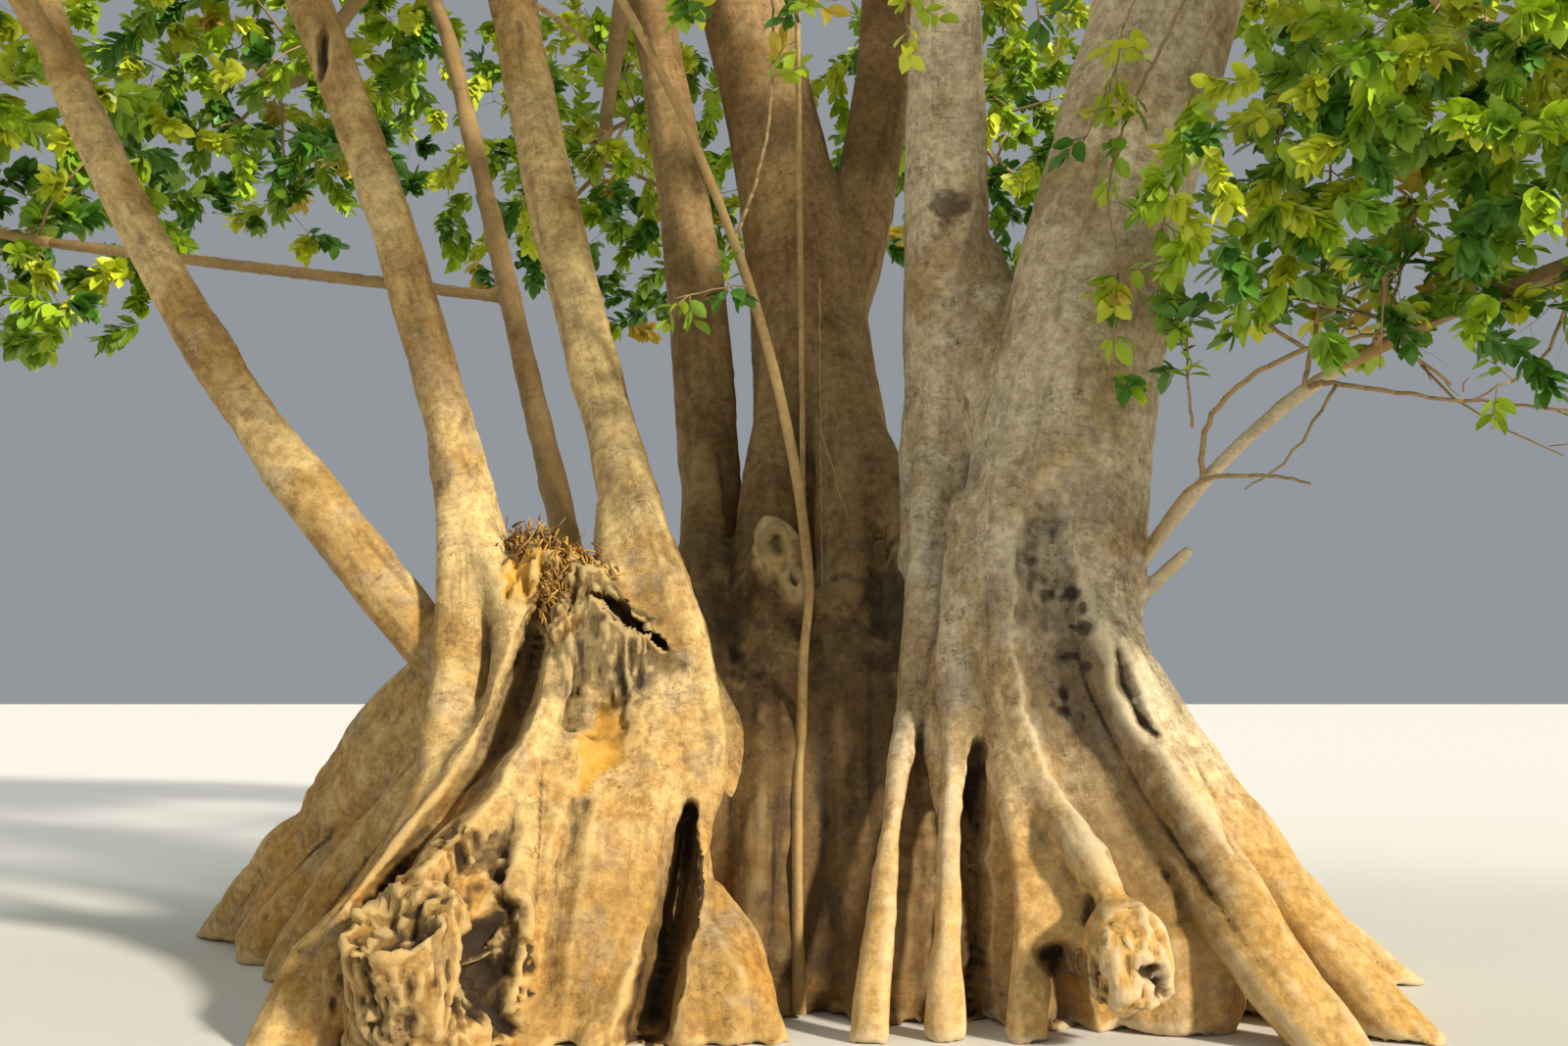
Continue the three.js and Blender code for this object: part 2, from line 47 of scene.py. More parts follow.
cores = [
    dict(name="rightCore", foot=(1.15, -.8, -.05), tip=(1, -.83, 2.3), girth=(.95, .4), flare=1.5),
    dict(name="leftCore", foot=(-1.25, -.95, -.05), tip=(-1.18, -.9, 1.75), girth=(.8, .38), flare=1.1),
    dict(name="centreCore", foot=(-.1, .5, -.05), tip=(-.15, .8, 1.8), girth=(1.25, .64), flare=1.2),
    dict(name="heart", foot=(0, -.35, -.05), tip=(0, -.15, 1.15), girth=(1.05, .62)),
]
stems = [
    dict(name="far_left_stem", foot=(-1.45, -1, 1.05), tip=(-4.54, -.7, 5.6), bow=(-.35, 0, 0),
         girth=(.15, .112)),
    dict(name="left_stem", foot=(-1.59, -1.05, .6), tip=(-3.5, -.6, 6.5), bow=(.282, 0, 0),
         girth=(.215, .116), flare=2.5),
    dict(name="small_stem", foot=(-1.17, -.5, 1), tip=(-2.57, 1.1, 5.9), bow=(0, .1, 0),
         girth=(.095, .058)),
    dict(name="mid_left_stem", foot=(-.61, -.75, .9), tip=(-2.17, 0, 6.9), bow=(-.124, 0, 0),
         girth=(.24, .131), flare=2.8),
    dict(name="back_left_stem", foot=(-.74, .6, .9), tip=(-1.45, 1.6, 7.3), bow=(.211, 0, 0),
         girth=(.216, .15)),
    dict(name="centre_stem", foot=(-.07, .85, 0), tip=(-.84, 1.5, 7.2), bow=(.364, 0, 0), girth=(.78, .29),
         flare=2),
    dict(name="centre_right_stem", foot=(.64, -.05, .6), tip=(.618, -1, 7.4), bow=(-.017, .15, 0),
         girth=(.323, .14)),
    dict(name="right_stem", foot=(.85, -.82, 0), tip=(2.52, -.7, 7.2), bow=(-.328, 0, 0),
         girth=(.75, .395), flare=3.2),
    dict(name="centre_fork_stem", on="centre_stem", at=.5, tip=(.401, 2, 7.6), bow=(.22, -.1, .1),
         girth=(.225, .155)),
]
roots = [
    dict(top=(-1.72, -1.1, 1.5), foot=(-2.62, -2.15), girth=(.235, .07), spread=1.6),
    dict(top=(-1.8, -.9, 1.95), foot=(-3.9, 1.05), girth=(.23, .12), spread=1.1, deep=1.6),
    dict(top=(-1.35, -.95, 1.75), foot=(-1.8, -1.85), girth=(.3, .15), spread=1.5),
    dict(top=(-1.08, -.95, 1.9), foot=(-1.43, -2), girth=(.34, .18), spread=1.5),
    dict(top=(-.9, -1, 1.85), foot=(-1.08, -2.06), girth=(.24, .13), spread=1.4),
    dict(top=(-.7, -1.08, 1.75), foot=(-.69, -1.95), girth=(.16, .11), spread=1.1),
    dict(top=(-.66, -1.5, .6), foot=(-.33, -1.95), girth=(.15, .09), spread=.8),
    dict(top=(-.2, .4, 1.7), foot=(-.33, -1.15), girth=(.36, .22), spread=1.2),
    dict(top=(.25, -.2, 1.65), foot=(.15, -1.45), girth=(.33, .2), spread=1.2),
    dict(top=(.64, -.85, 1.9), foot=(.02, -1.9), girth=(.15, .095), spread=.9),
    dict(top=(.54, -1.08, 1.9), foot=(.4, -1.98), girth=(.17, .09), spread=1),
    dict(top=(.78, -1.05, 2.15), foot=(.72, -2.1), girth=(.25, .14), spread=1.3),
    dict(top=(.96, -1.25, 1.65), foot=(1.13, -2.15), girth=(.17, .11), spread=1.2),
    dict(top=(1, -1.15, 2.3), foot=(1.64, -2.15), girth=(.27, .14), spread=1.7),
    dict(top=(1.13, -1.08, 2.35), foot=(2.1, -2.2), girth=(.26, .13), spread=1.6),
    dict(top=(1.25, -.93, 2.3), foot=(2.54, -1.95), girth=(.22, .12), spread=1.6),
    dict(top=(1.3, -.65, 2.1), foot=(3.05, -.55), girth=(.27, .1), spread=1.7, deep=1.4),
    dict(top=(1.25, -.4, 1.95), foot=(2.65, 1.3), girth=(.27, .1), spread=1.6, deep=1.4),
    dict(top=(.35, .95, 1.8), foot=(1.35, 2.9), girth=(.3, .11), spread=1.6, deep=1.4),
    dict(top=(-.25, 1.2, 1.9), foot=(-.5, 3.15), girth=(.3, .11), spread=1.7, deep=1.4),
    dict(top=(-.85, .85, 1.7), foot=(-2.2, 2.55), girth=(.28, .1), spread=1.6, deep=1.4),
]
stubs = [
    dict(name="crookWeb", foot=(.7, -.3, 4), tip=(1.05, -.62, 2.7), girth=(.215, .33)),
    dict(name="brokenPlate", foot=(-1.18, -1, .9), tip=(-1.27, -1.06, 2.15), bow=(0, -.06, 0),
         girth=(.33, .11)),
    dict(name="brokenRoot", foot=(-1.78, -1.98, -.06), tip=(-1.9, -2.33, .59), girth=(.31, .235)),
    dict(name="burl", foot=(1.04, -1.65, .88), tip=(1.16, -2.17, .4), bow=(0, -.04, .03), girth=(.1, .22)),
    dict(name="deadStub", foot=(1.3, -.86, 1.78), tip=(1.77, -1.07, 2.25), girth=(.06, .034)),
]
aerialRoots = [
    dict(name="slanting_aerial_root", foot=(-.2, -.4, 1), tip=(-1.44, -1.6, 5.5), bow=(.45, -.05, 0),
         girth=(.031, .026)),
    dict(name="hanging_aerial_root", foot=(-.18, -.06, .9), tip=(-.24, -.56, 6.3), bow=(.01, .08, 0),
         girth=(.026, .024)),
]
masses = [
    dict(name="left", on="far_left_stem", at=1, centre=(-6.6, -1, 7.3), reach=(1.9, 2, 1.7)),
    dict(name="front_left", on="far_left_stem", at=.84, centre=(-5.2, -4.2, 6.9), reach=(2.1, 2, 1.7)),
    dict(name="left_upper", on="left_stem", at=1, centre=(-5.2, .2, 9.9), reach=(2.2, 2.2, 1.7)),
    dict(name="front_left_upper", on="left_stem", at=.88, centre=(-3.3, -3.4, 9.7), reach=(2.3, 2.1, 1.8)),
    dict(name="left_low", on="small_stem", at=.61, tip=(-5.4, 1.45, 4.62), girth=(.046, .04),
         centre=(-6.55, 2.15, 5.25), reach=(1.95, 2, 1.6), bow=0),
    dict(name="back_left", on="small_stem", at=1, centre=(-5, 4.8, 7.3), reach=(2.1, 2, 1.8)),
    dict(name="top_left", on="mid_left_stem", at=1, centre=(-2.4, .4, 11.8), reach=(2.3, 2.2, 1.6)),
    dict(name="back_left_upper", on="back_left_stem", at=1, centre=(-3, 3.6, 10), reach=(2.3, 2.1, 1.7)),
    dict(name="back_left_low", on="back_left_stem", at=.92, centre=(-2.2, 6.3, 6.9), reach=(2.1, 1.9, 2)),
    dict(name="top", on="centre_stem", at=1, centre=(.6, 1, 12.6), reach=(2.3, 2.2, 1.5)),
    dict(name="back_upper", on="centre_stem", at=.9, centre=(0, 4.4, 10.6), reach=(2.2, 2, 1.7)),
    dict(name="back", on="centre_fork_stem", at=.82, centre=(1.7, 6.4, 7.3), reach=(2.1, 1.9, 2)),
    dict(name="back_right_upper", on="centre_fork_stem", at=1, centre=(3.3, 3.2, 10.4),
         reach=(2.2, 2.1, 1.7)),
    dict(name="front_upper", on="centre_right_stem", at=1, centre=(.1, -3.6, 10.6), reach=(2.4, 2.1, 1.7)),
    dict(name="front", on="centre_right_stem", at=.84, centre=(-1.6, -6, 7.8), reach=(2.3, 1.8, 1.7)),
    dict(name="right_upper", on="right_stem", at=1, centre=(4.6, -.4, 10.3), reach=(2.3, 2.2, 1.7)),
    dict(name="right", on="right_stem", at=.8, centre=(7, -.8, 7.2), reach=(1.9, 2.1, 1.8)),
    dict(name="front_right", on="right_stem", at=.93, centre=(2.6, -5.6, 8), reach=(2.3, 1.9, 1.7)),
    dict(name="front_right_low", on="right_stem", at=.76, centre=(5.3, -4.2, 6.6), reach=(2.1, 2, 1.7)),
    dict(name="back_right", on="right_stem", at=.86, centre=(5.6, 3.8, 7.4), reach=(2.2, 2.1, 1.8)),
    dict(name="right_low", on="trunk", root=(1.3, -.88, 1.82), tip=(2.41, -1.65, 3.09), bow=.17,
         girth=(.042, .036), centre=(3.8, -2.5, 3.65), reach=(2.8, 1.5, 1.3)),
]

# The source's rule for boughs and twigs
rule = dict(seed=4049, boughShare=.62, tipShare=.95, rise=.06, onward=.2, straighter=.25, boughTip=.07,
            entry=.62, beyond=.3, stemBend=.4, stemShare=.96, stemTip=.05, stemBare=.15, twigs=8,
            twigGirth=.03, underCarrier=.75, twigBare=.3, twigLean=.35, shortest=.3, sprayLength=1.25,
            sprayOverTwig=.24, skin=.95, clearance=.03, keepApart=.04, testedAt=(.35, .7, 1))
rootsEndBelow = .12
upward = np.array((0, 0, 1.0))
evenSteps = np.linspace(0, 1, 41)  # where a limb is sampled along its length


def unit(v):
    return v / np.linalg.norm(v, axis=-1, keepdims=True)


# A limb is a curve from foot to tip with a radius along it, and its side is one way across its section
class Limb:
    rounded = False

    def __init__(self, name, foot, tip, bow=(0, 0, 0), girth=(.1, .1), flare=1, **rest):
        self.name, self.girth, self.flare, self.deep = name, girth, flare, 1
        self.foot, self.tip = np.array(foot, float), np.array(tip, float)
        self.middle = (self.foot + self.tip) / 2 + 2 * np.array(bow, float)
        self.finish(self.tip - self.foot)

    def finish(self, direction):
        flat = np.array((direction[1], -direction[0], 0))
        self.side = unit(flat) if np.linalg.norm(flat) > .001 else np.array((1.0, 0, 0))
        self.samples = self.point(evenSteps)
        self.length = np.linalg.norm(np.diff(self.samples, axis=0), axis=1).sum()

    def point(self, t):
        t = np.asarray(t, float)[..., None]
        return (1 - t) ** 2 * self.foot + 2 * t * (1 - t) * self.middle + t ** 2 * self.tip

    def heading(self, t):
        t, step = np.asarray(t), .01
        return unit(self.point(np.minimum(1, t + step)) - self.point(np.maximum(0, t - step)))

    def radius(self, t):
        return self.girth[1] + (self.girth[0] - self.girth[1]) * (1 - np.asarray(t)) ** self.flare


# A root drops evenly while it spreads outwards ever faster, to end under the cut
class Root(Limb):
    def __init__(self, top, foot, girth, spread, deep=1):
        self.girth, self.deep, self.spread = girth, deep, spread
        self.top = np.array(top, float)
        self.outward = np.array((foot[0] - top[0], foot[1] - top[1], 0))
        self.finish(self.outward)

    def point(self, t):
        t = np.asarray(t, float)[..., None]
        return self.top + self.outward * t ** self.spread - t * (self.top[2] + rootsEndBelow) * upward

    def radius(self, t):
        t = np.asarray(t)
        return (self.girth[0] + (self.girth[1] - self.girth[0]) * t) * np.minimum(1, .4 + 1.8 * t)


# A strand runs smoothly through given points, with a radius at each
class Strand(Limb):
    rounded = True

    def __init__(self, *through, deep=1, side=None):
        self.deep = deep
        self.knots = np.array([point[:3] for point in through], float)
        self.widths = np.array([point[3] for point in through], float)
        self.finish(self.knots[-1] - self.knots[0])
        if side:
            self.side = np.array(side, float)

    def point(self, t):
        last = len(self.knots) - 1
        t = np.clip(np.asarray(t, float), 0, 1) * last
        i = np.minimum(t.astype(int), last - 1)
        f = (t - i)[..., None]
        a, b, c, d = (self.knots[np.clip(i + k, 0, last)] for k in (-1, 0, 1, 2))
        square, cube = 2 * a - 5 * b + 4 * c - d, 3 * b - a - 3 * c + d
        return .5 * (2 * b + (c - a) * f + square * f ** 2 + cube * f ** 3)

    def radius(self, t):
        return np.interp(np.asarray(t) * (len(self.widths) - 1), np.arange(len(self.widths)), self.widths)


coreLimbs = {c["name"]: Limb(**c) for c in cores}
rootLimbs = [Root(**r) for r in roots]
stubLimbs = {s["name"]: Limb(**s) for s in stubs}
stemLimbs = {}
for stem in stems:
    foot = stem.get("foot") or stemLimbs[stem["on"]].point(stem["at"])
    stemLimbs[stem["name"]] = Limb(**{**stem, "foot": foot})
aerialLimbs = {a["name"]: Limb(**a) for a in aerialRoots}


# The bough of a mass ends at the entry of the mass, on the way to its middle. From a stem's side it rises a
# little, and from a stem's tip it goes on in the stem's own direction.
def boughOf(mass):
    centre, reach = np.array(mass["centre"]), np.array(mass["reach"])
    carrier = stemLimbs.get(mass["on"])
    foot = np.array(mass["root"]) if "root" in mass else carrier.point(mass["at"])
    back = unit(foot - centre)
    entry = centre + back * rule["entry"] / np.linalg.norm(back / reach)
    tip = np.array(mass.get("tip", entry))
    span = np.linalg.norm(tip - foot)
    bow = upward * mass.get("bow", span * rule["rise"])
    goesOn = mass.get("at") == 1
    if goesOn:
        bow = carrier.heading(1) * span * rule["onward"] - (tip - foot) * rule["straighter"]
    share = rule["tipShare"] if goesOn else rule["boughShare"]
    girth = mass.get("girth") or (carrier.radius(mass["at"]) * share, rule["boughTip"])
    return Limb(mass["name"] + "_bough", foot, tip, bow, girth)


for mass in masses:
    mass["limb"] = boughOf(mass)
boughLimbs = {mass["name"]: mass["limb"] for mass in masses}
namedLimbs = (coreLimbs, stubLimbs, stemLimbs, boughLimbs, aerialLimbs)
everyLimb = [*rootLimbs, *[limb for limbs in namedLimbs for limb in limbs.values()]]


# Seeded draws between 0 and 1
def drawsFrom(seed):
    state = seed

    def draw():
        nonlocal state
        state = (1664525 * state + 1013904223) % 4294967296
        return state / 4294967296
    return draw


# Smooth noise from -1 to 1 at many points at once
def softNoise(points, seed=0):
    cell = np.floor(points).astype(np.int64)
    part = points - cell
    part = part * part * (3 - 2 * part)
    total = np.zeros(len(points))
    for corner in itertools.product((0, 1), repeat=3):
        key = (cell + corner) @ np.array((374761393, 668265263, 2147483647)) + seed * 40503
        key = (key ^ (key >> 13)) * 1274126177 & 0xffffffff
        key = (key ^ (key >> 16)) & 0xffff
        share = np.where(corner, part, 1 - part).prod(axis=1)
        total += share * (key / 32767.5 - 1)
    return total


def layeredNoise(points, octaves, seed=0):
    return sum(softNoise(points * 1.93 ** i + 17.3 * i, seed + i) * .55 ** i for i in range(octaves))


def meshCoordinates(mesh):
    place = np.empty(len(mesh.vertices) * 3)
    mesh.vertices.foreach_get("co", place)
    return place.reshape(-1, 3)


def meshNormals(mesh):
    normals = np.empty(len(mesh.vertices) * 3)
    mesh.vertex_normals.foreach_get("vector", normals)
    return normals.reshape(-1, 3)


def setCoordinates(mesh, place):
    mesh.vertices.foreach_set("co", place.ravel())
    mesh.update()


def meshOf(bm, name):
    mesh = bpy.data.meshes.new(name)
    bm.to_mesh(mesh)
    bm.free()
    return mesh


# The points inside a limb's box, made larger by a margin below and one above
def nearLimb(limb, place, below, above):
    low, high = limb.samples.min(axis=0) - below, limb.samples.max(axis=0) + above
    return np.nonzero(((place > low) & (place < high)).all(axis=1))[0]


def addPiece(name, mesh, materials, replaced):
    piece = bpy.data.objects.new(name, mesh)
    mesh.name = name
    for material in materials:
        mesh.materials.append(material)
    bpy.context.collection.objects.link(piece)
    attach(piece, "root")
    if replaced:
        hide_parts(*replaced)
    return piece


# Wood: tubes bent on the limbs, fused by a voxel remesh, rounded in the crooks and given relief

wood = dict(ringStep=.06, sides=28, lobes=.05, lobedUnder=.5,
            voxel=dict(left=.0185, right=.0195, back=.024), fillet=34, fill=.8, soften=.06,
            triangles=190000, fineBelow=5, fineWeight=.45, speck=200)


# A closed tube: a cylinder with rings of faces, bent ring by ring on to a limb
def addTube(bm, limb, sides, lobes=0, seed=0):
    tube = bmesh.new()
    bmesh.ops.create_cone(tube, cap_ends=True, segments=sides, radius1=1, radius2=1, depth=1)
    uprights = [e for e in tube.edges if abs(e.verts[0].co.z - e.verts[1].co.z) > .5]
    rings = max(2, round(limb.length / wood["ringStep"]))
    bmesh.ops.subdivide_edges(tube, edges=uprights, cuts=rings - 1, use_grid_fill=True)
    plain = np.array([v.co for v in tube.verts])
    t = np.clip(plain[:, 2] + .5, 0, 1)
    heading = limb.heading(t)
    across = unit(limb.side - heading * (heading @ limb.side)[:, None])
    inPlane = np.cross(across, heading)
    angle = np.arctan2(plain[:, 1], plain[:, 0])
    phase = seed * 1.7 + 1.1 * t * limb.length
    wide = limb.radius(t) * (1 + lobes * (np.cos(2 * angle + phase) + .8 * np.cos(3 * angle - 1.3 * phase)))
    if limb.rounded:
        toEnd = np.minimum(t, 1 - t) * limb.length / limb.radius(t)
        wide *= np.sqrt(np.clip(1 - np.clip(1 - toEnd, 0, .995) ** 2, 0, 1))
    place = limb.point(t) + across * (plain[:, 0] * wide)[:, None]
    place += inPlane * (plain[:, 1] * wide * limb.deep)[:, None]
    for vert, p in zip(tube.verts, place):
        vert.co = p
    tube.normal_update()
    bmesh.ops.recalc_face_normals(tube, faces=tube.faces)
    mesh = meshOf(tube, "tube")
    bm.from_mesh(mesh)
    bpy.data.meshes.remove(mesh)


def fuseLimbs(limbs, voxel):
    bm = bmesh.new()
    for i, limb in enumerate(limbs):
        addTube(bm, limb, wood["sides"], lobes=wood["lobes"] * (limb.radius(0) < wood["lobedUnder"]),
                seed=i)
    loose = bpy.data.objects.new("loose", meshOf(bm, "loose"))
    bpy.context.collection.objects.link(loose)
    remesh = loose.modifiers.new("fuse", "REMESH")
    remesh.mode = "VOXEL"
    remesh.voxel_size = voxel
    fused = bpy.data.meshes.new_from_object(loose.evaluated_get(bpy.context.evaluated_depsgraph_get()))
    bpy.data.objects.remove(loose)
    return fused


def cutAtGround(mesh):
    bm = bmesh.new()
    bm.from_mesh(mesh)
    everything = [*bm.verts, *bm.edges, *bm.faces]
    bmesh.ops.bisect_plane(bm, geom=everything, plane_co=(0, 0, 0), plane_no=(0, 0, 1), clear_inner=True)
    rim = [e for e in bm.edges if e.is_boundary]
    bmesh.ops.triangle_fill(bm, use_beauty=True, edges=rim, normal=(0, 0, -1))
    bm.to_mesh(mesh)
    bm.free()


def neighbourMeans(mesh):
    edges = np.empty(len(mesh.edges) * 2, np.int32)
    mesh.edges.foreach_get("vertices", edges)
    a, b = edges.reshape(-1, 2).T
    count = np.bincount(a, minlength=len(mesh.vertices)) + np.bincount(b, minlength=len(mesh.vertices))

    def means(values):
        total = [np.bincount(a, values[:, k][b], len(values)) + np.bincount(b, values[:, k][a], len(values))
                 for k in range(values.shape[1])]
        return np.array(total).T / count[:, None]
    return means


# Crooks fill up as living wood does, while ridges keep nearly all their shape
def fillCrooks(mesh, rounds):
    means = neighbourMeans(mesh)
    place = meshCoordinates(mesh)
    ground = place[:, 2] < .001
    for i in range(rounds):
        if i % 4 == 0:
            setCoordinates(mesh, place)
            normals = meshNormals(mesh)
        move = means(place) - place
        outward = (move * normals).sum(axis=1)
        share = np.where(outward > 0, wood["fill"], wood["soften"])
        place = place + move * share[:, None]
        place[ground, 2] = 0
    setCoordinates(mesh, place)


# Grooves: from what depth their faces get smaller and how far round them, the ripple of their rims, how
# their ends fade, and how the wood behind them gives way
pressing = dict(refineFrom=.12, refineRound=.03, margin=.3, ripple=.02, rippleScale=7, fineRipple=.006,
                fineRippleScale=31, fadeEnds=5, leastEnd=.15, behind=.12, fadeBehind=1.7, leastFade=.3,
                soften=4)


# The deep grooves get smaller faces, so that their rims stay clean
def refineGrooves(mesh, grooves):
    place = meshCoordinates(mesh)
    near = np.zeros(len(place), bool)
    for path in [groove["path"] for groove in grooves if groove["depth"] > pressing["refineFrom"]]:
        wide = path.radius(evenSteps).max() + pressing["refineRound"]
        inside = nearLimb(path, place, wide + .05, wide + pressing["margin"])
        off = np.linalg.norm(place[inside][:, None, (0, 2)] - path.samples[:, (0, 2)], axis=2)
        near[inside[off.min(axis=1) < wide]] = True
    bm = bmesh.new()
    bm.from_mesh(mesh)
    chosen = [e for e in bm.edges if near[e.verts[0].index] and near[e.verts[1].index]]
    bmesh.ops.subdivide_edges(bm, edges=chosen, cuts=1, use_grid_fill=True)
    bm.to_mesh(mesh)
    bm.free()


# A groove is pressed straight in from the front along a strand, whose radius is the groove's half-width.
# The wood behind it gives way as well, ever less with its depth.
def pressGrooves(mesh, means, grooves):
    place = meshCoordinates(mesh)
    standing = place[:, 2] > .001
    pressed = np.zeros(len(place), bool)
    grooveStainAndShade = np.zeros(len(place))
    for groove in grooves:
        path = groove["path"]
        line, wide = path.samples[:, (0, 2)], path.radius(evenSteps)
        deeper = np.array((0, 2 * groove["depth"], 0))
        near = nearLimb(path, place, pressing["margin"], pressing["margin"] + deeper)
        near = near[standing[near]]
        flat = place[near][:, (0, 2)]
        ripple = pressing["ripple"] * layeredNoise(place[near] * pressing["rippleScale"], 2, 71)
        ripple += pressing["fineRipple"] * layeredNoise(place[near] * pressing["fineRippleScale"], 2, 73)
        off = np.linalg.norm((flat + ripple[:, None])[:, None] - line, axis=2) / wide
        nearest = off.argmin(axis=1)
        t = evenSteps[nearest]
        share = np.clip(1 - off.min(axis=1) ** 2, 0, 1) ** groove.get("sharp", 1.4)
        toEnd = np.minimum(t, 1 - t if groove.get("closed", True) else 1)
        share *= np.clip(toEnd * pressing["fadeEnds"] + pressing["leastEnd"], 0, 1)
        behind = place[near, 1] - path.samples[nearest, 1] - pressing["behind"]
        fade = pressing["fadeBehind"] * max(pressing["leastFade"], groove["depth"])
        share *= np.clip(1 - behind / fade, 0, 1)
        place[near, 1] += groove["depth"] * share
        pressed[near[share > 0]] = True
        # The groove darkens inside: painted shade, and in the broad flute partly stained bark as well
        grooveStainAndShade[near] = np.maximum(grooveStainAndShade[near], groove.get("stain", 0) * np.clip(share * 2.2, 0, 1))
    for _ in range(pressing["soften"]):
        place = np.where(pressed[:, None], .5 * place + .5 * means(place), place)
    setCoordinates(mesh, place)
    return grooveStainAndShade


relief = dict(margin=.3, blend=.035, fluteWidth=.21, fluteRun=7, fluteDepth=.042, fineWidth=.07,
              fineDepth=.009, lump=.38, lumpHeight=.026, knot=.07, knotHeight=.007, wrinkle=.045,
              wrinkleHeight=.004, fullAt=.11, atGround=1.25, fadeOver=3.2, least=.12, ragged=.34,
              raggedScale=9, roughScale=(22, 22, 5), hollowRounds=5, hollowDepth=.01, recessRounds=40,
              recessDepth=.045)


# How far each point is from a limb, and where it is in that limb's own frame: two ways across, then along
def placeOnLimb(limb, place):
    gap, local = np.full(len(place), 9.0), np.zeros((len(place), 3))
    margin = limb.radius(evenSteps).max() + relief["margin"]
    near = nearLimb(limb, place, margin, margin)
    if not len(near):
        return gap, local
    here = place[near]
    every = 4
    nearest = ((here[:, None, :] - limb.samples[None, ::every, :]) ** 2).sum(axis=2).argmin(axis=1)
    t = nearest * every / (len(evenSteps) - 1)
    for _ in range(3):
        heading = limb.heading(t)
        t = np.clip(t + ((here - limb.point(t)) * heading).sum(axis=1) / limb.length, 0, 1)
    heading = limb.heading(t)
    across = unit(limb.side - heading * (heading @ limb.side)[:, None])
    off = here - limb.point(t)
    gap[near] = np.linalg.norm(off, axis=1) - limb.radius(t)
    local[near] = np.stack([(off * across).sum(axis=1), (off * np.cross(across, heading)).sum(axis=1),
                            t * limb.length], axis=1)
    return gap, local


# Raises the bark's flutes, lumps and knots along each limb, sinks the dents, and keeps for the materials
# what is hollow, recessed, stained or darkened as painted shade, exposed wood or painted sunlight, and how
# the grain runs
def carve(mesh, limbs, means, base=1.0, dents=(), grooveStainAndShade=0):
    place, normals = meshCoordinates(mesh), meshNormals(mesh)
    found = [placeOnLimb(limb, place) for limb in limbs]
    gaps = np.array([gap for gap, _ in found])
    share = np.exp(-(gaps - gaps.min(axis=0)) / relief["blend"])
    share /= share.sum(axis=0)
    low = np.clip(relief["atGround"] - place[:, 2] / relief["fadeOver"], relief["least"], 1) * base
    height = np.zeros(len(place))
    grain = np.zeros((len(place), 3))
    strongest = share.argmax(axis=0)
    for i, (gap, local) in enumerate(found):
        near = share[i] > .03
        here = local[near] + 3.7 * i
        run = np.array((1, 1, 1 / relief["fluteRun"]))
        warp = layeredNoise(here * (1.1, 1.1, .8), 2, 5)[:, None] * (.5, .5, 0)
        flute = np.abs(softNoise(here * run / relief["fluteWidth"] + warp, 11)) ** .8 - .45
        fine = np.abs(softNoise(here * run / relief["fineWidth"] + warp * 2, 23)) - .3
        lump = layeredNoise(here / relief["lump"], 3, 31)
        wrinkle = softNoise(here * (5, 5, 1 / relief["wrinkle"]), 43)
        wrinkle *= np.maximum(0, softNoise(here * 2.2, 47) + .2)
        knot = layeredNoise(here / relief["knot"], 2, 53) * np.maximum(0, softNoise(here * 1.7, 59) + .35)
        here = relief["fluteDepth"] * flute * low[near] + relief["fineDepth"] * fine * (.4 + .6 * low[near])
        here += relief["lumpHeight"] * lump * (.35 + .65 * low[near]) + relief["wrinkleHeight"] * wrinkle
        here += relief["knotHeight"] * knot
        height[near] += share[i][near] * here * min(1, limbs[i].radius(.5) / relief["fullAt"])
        mine = strongest == i
        grain[mine] = local[mine] + 3.7 * i
    # Stained wood and the painted shade of grooves, holes, slots and hollows are kept in one mark
    stain = np.zeros(len(place)) + grooveStainAndShade
    rawWoodAndPaintedSun = np.zeros(len(place))
    ragged = relief["ragged"] * layeredNoise(place * relief["raggedScale"], 4, 61) if dents else 0
    for dent in dents:
        off = np.linalg.norm((place - dent["place"]) / dent["size"], axis=1) + ragged
        inside = np.clip(1 - off ** 2, 0, 1)
        height -= dent.get("depth", 0) * inside
        if "rough" in dent:
            rough = layeredNoise(place * relief["roughScale"], 3, 67)
            height += dent["rough"] * rough * np.clip(inside * 2, 0, 1)
        stain = np.maximum(stain, dent.get("stain", 0) * np.clip(inside * 3, 0, 1))
        rawWoodAndPaintedSun = np.maximum(rawWoodAndPaintedSun, dent.get("rawWoodAndPaintedSun", 0) * np.clip(inside * 3, 0, 1))
    move = normals * height[:, None]
    ground = place[:, 2] < .001
    move[ground, 2] = 0
    place = place + move
    place[~ground, 2] = np.maximum(place[~ground, 2], .0005)
    setCoordinates(mesh, place)
    smooth, facing = place, meshNormals(mesh)
    kept = dict(stain=stain, rawWoodAndPaintedSun=rawWoodAndPaintedSun)
    for name in ("hollow", "recess"):
        for _ in range(relief[name + "Rounds"]):
            smooth = means(smooth)
        kept[name] = np.clip(((smooth - place) * facing).sum(axis=1) / relief[name + "Depth"], -1, 1)
    for name, values in kept.items():
        mesh.attributes.new(name, "FLOAT", "POINT").data.foreach_set("value", values)
    follow = mesh.attributes.new("grain", "FLOAT_VECTOR", "POINT")
    follow.data.foreach_set("vector", grain.ravel())


def shadeSmooth(mesh):
    mesh.polygons.foreach_set("use_smooth", np.ones(len(mesh.polygons), bool))


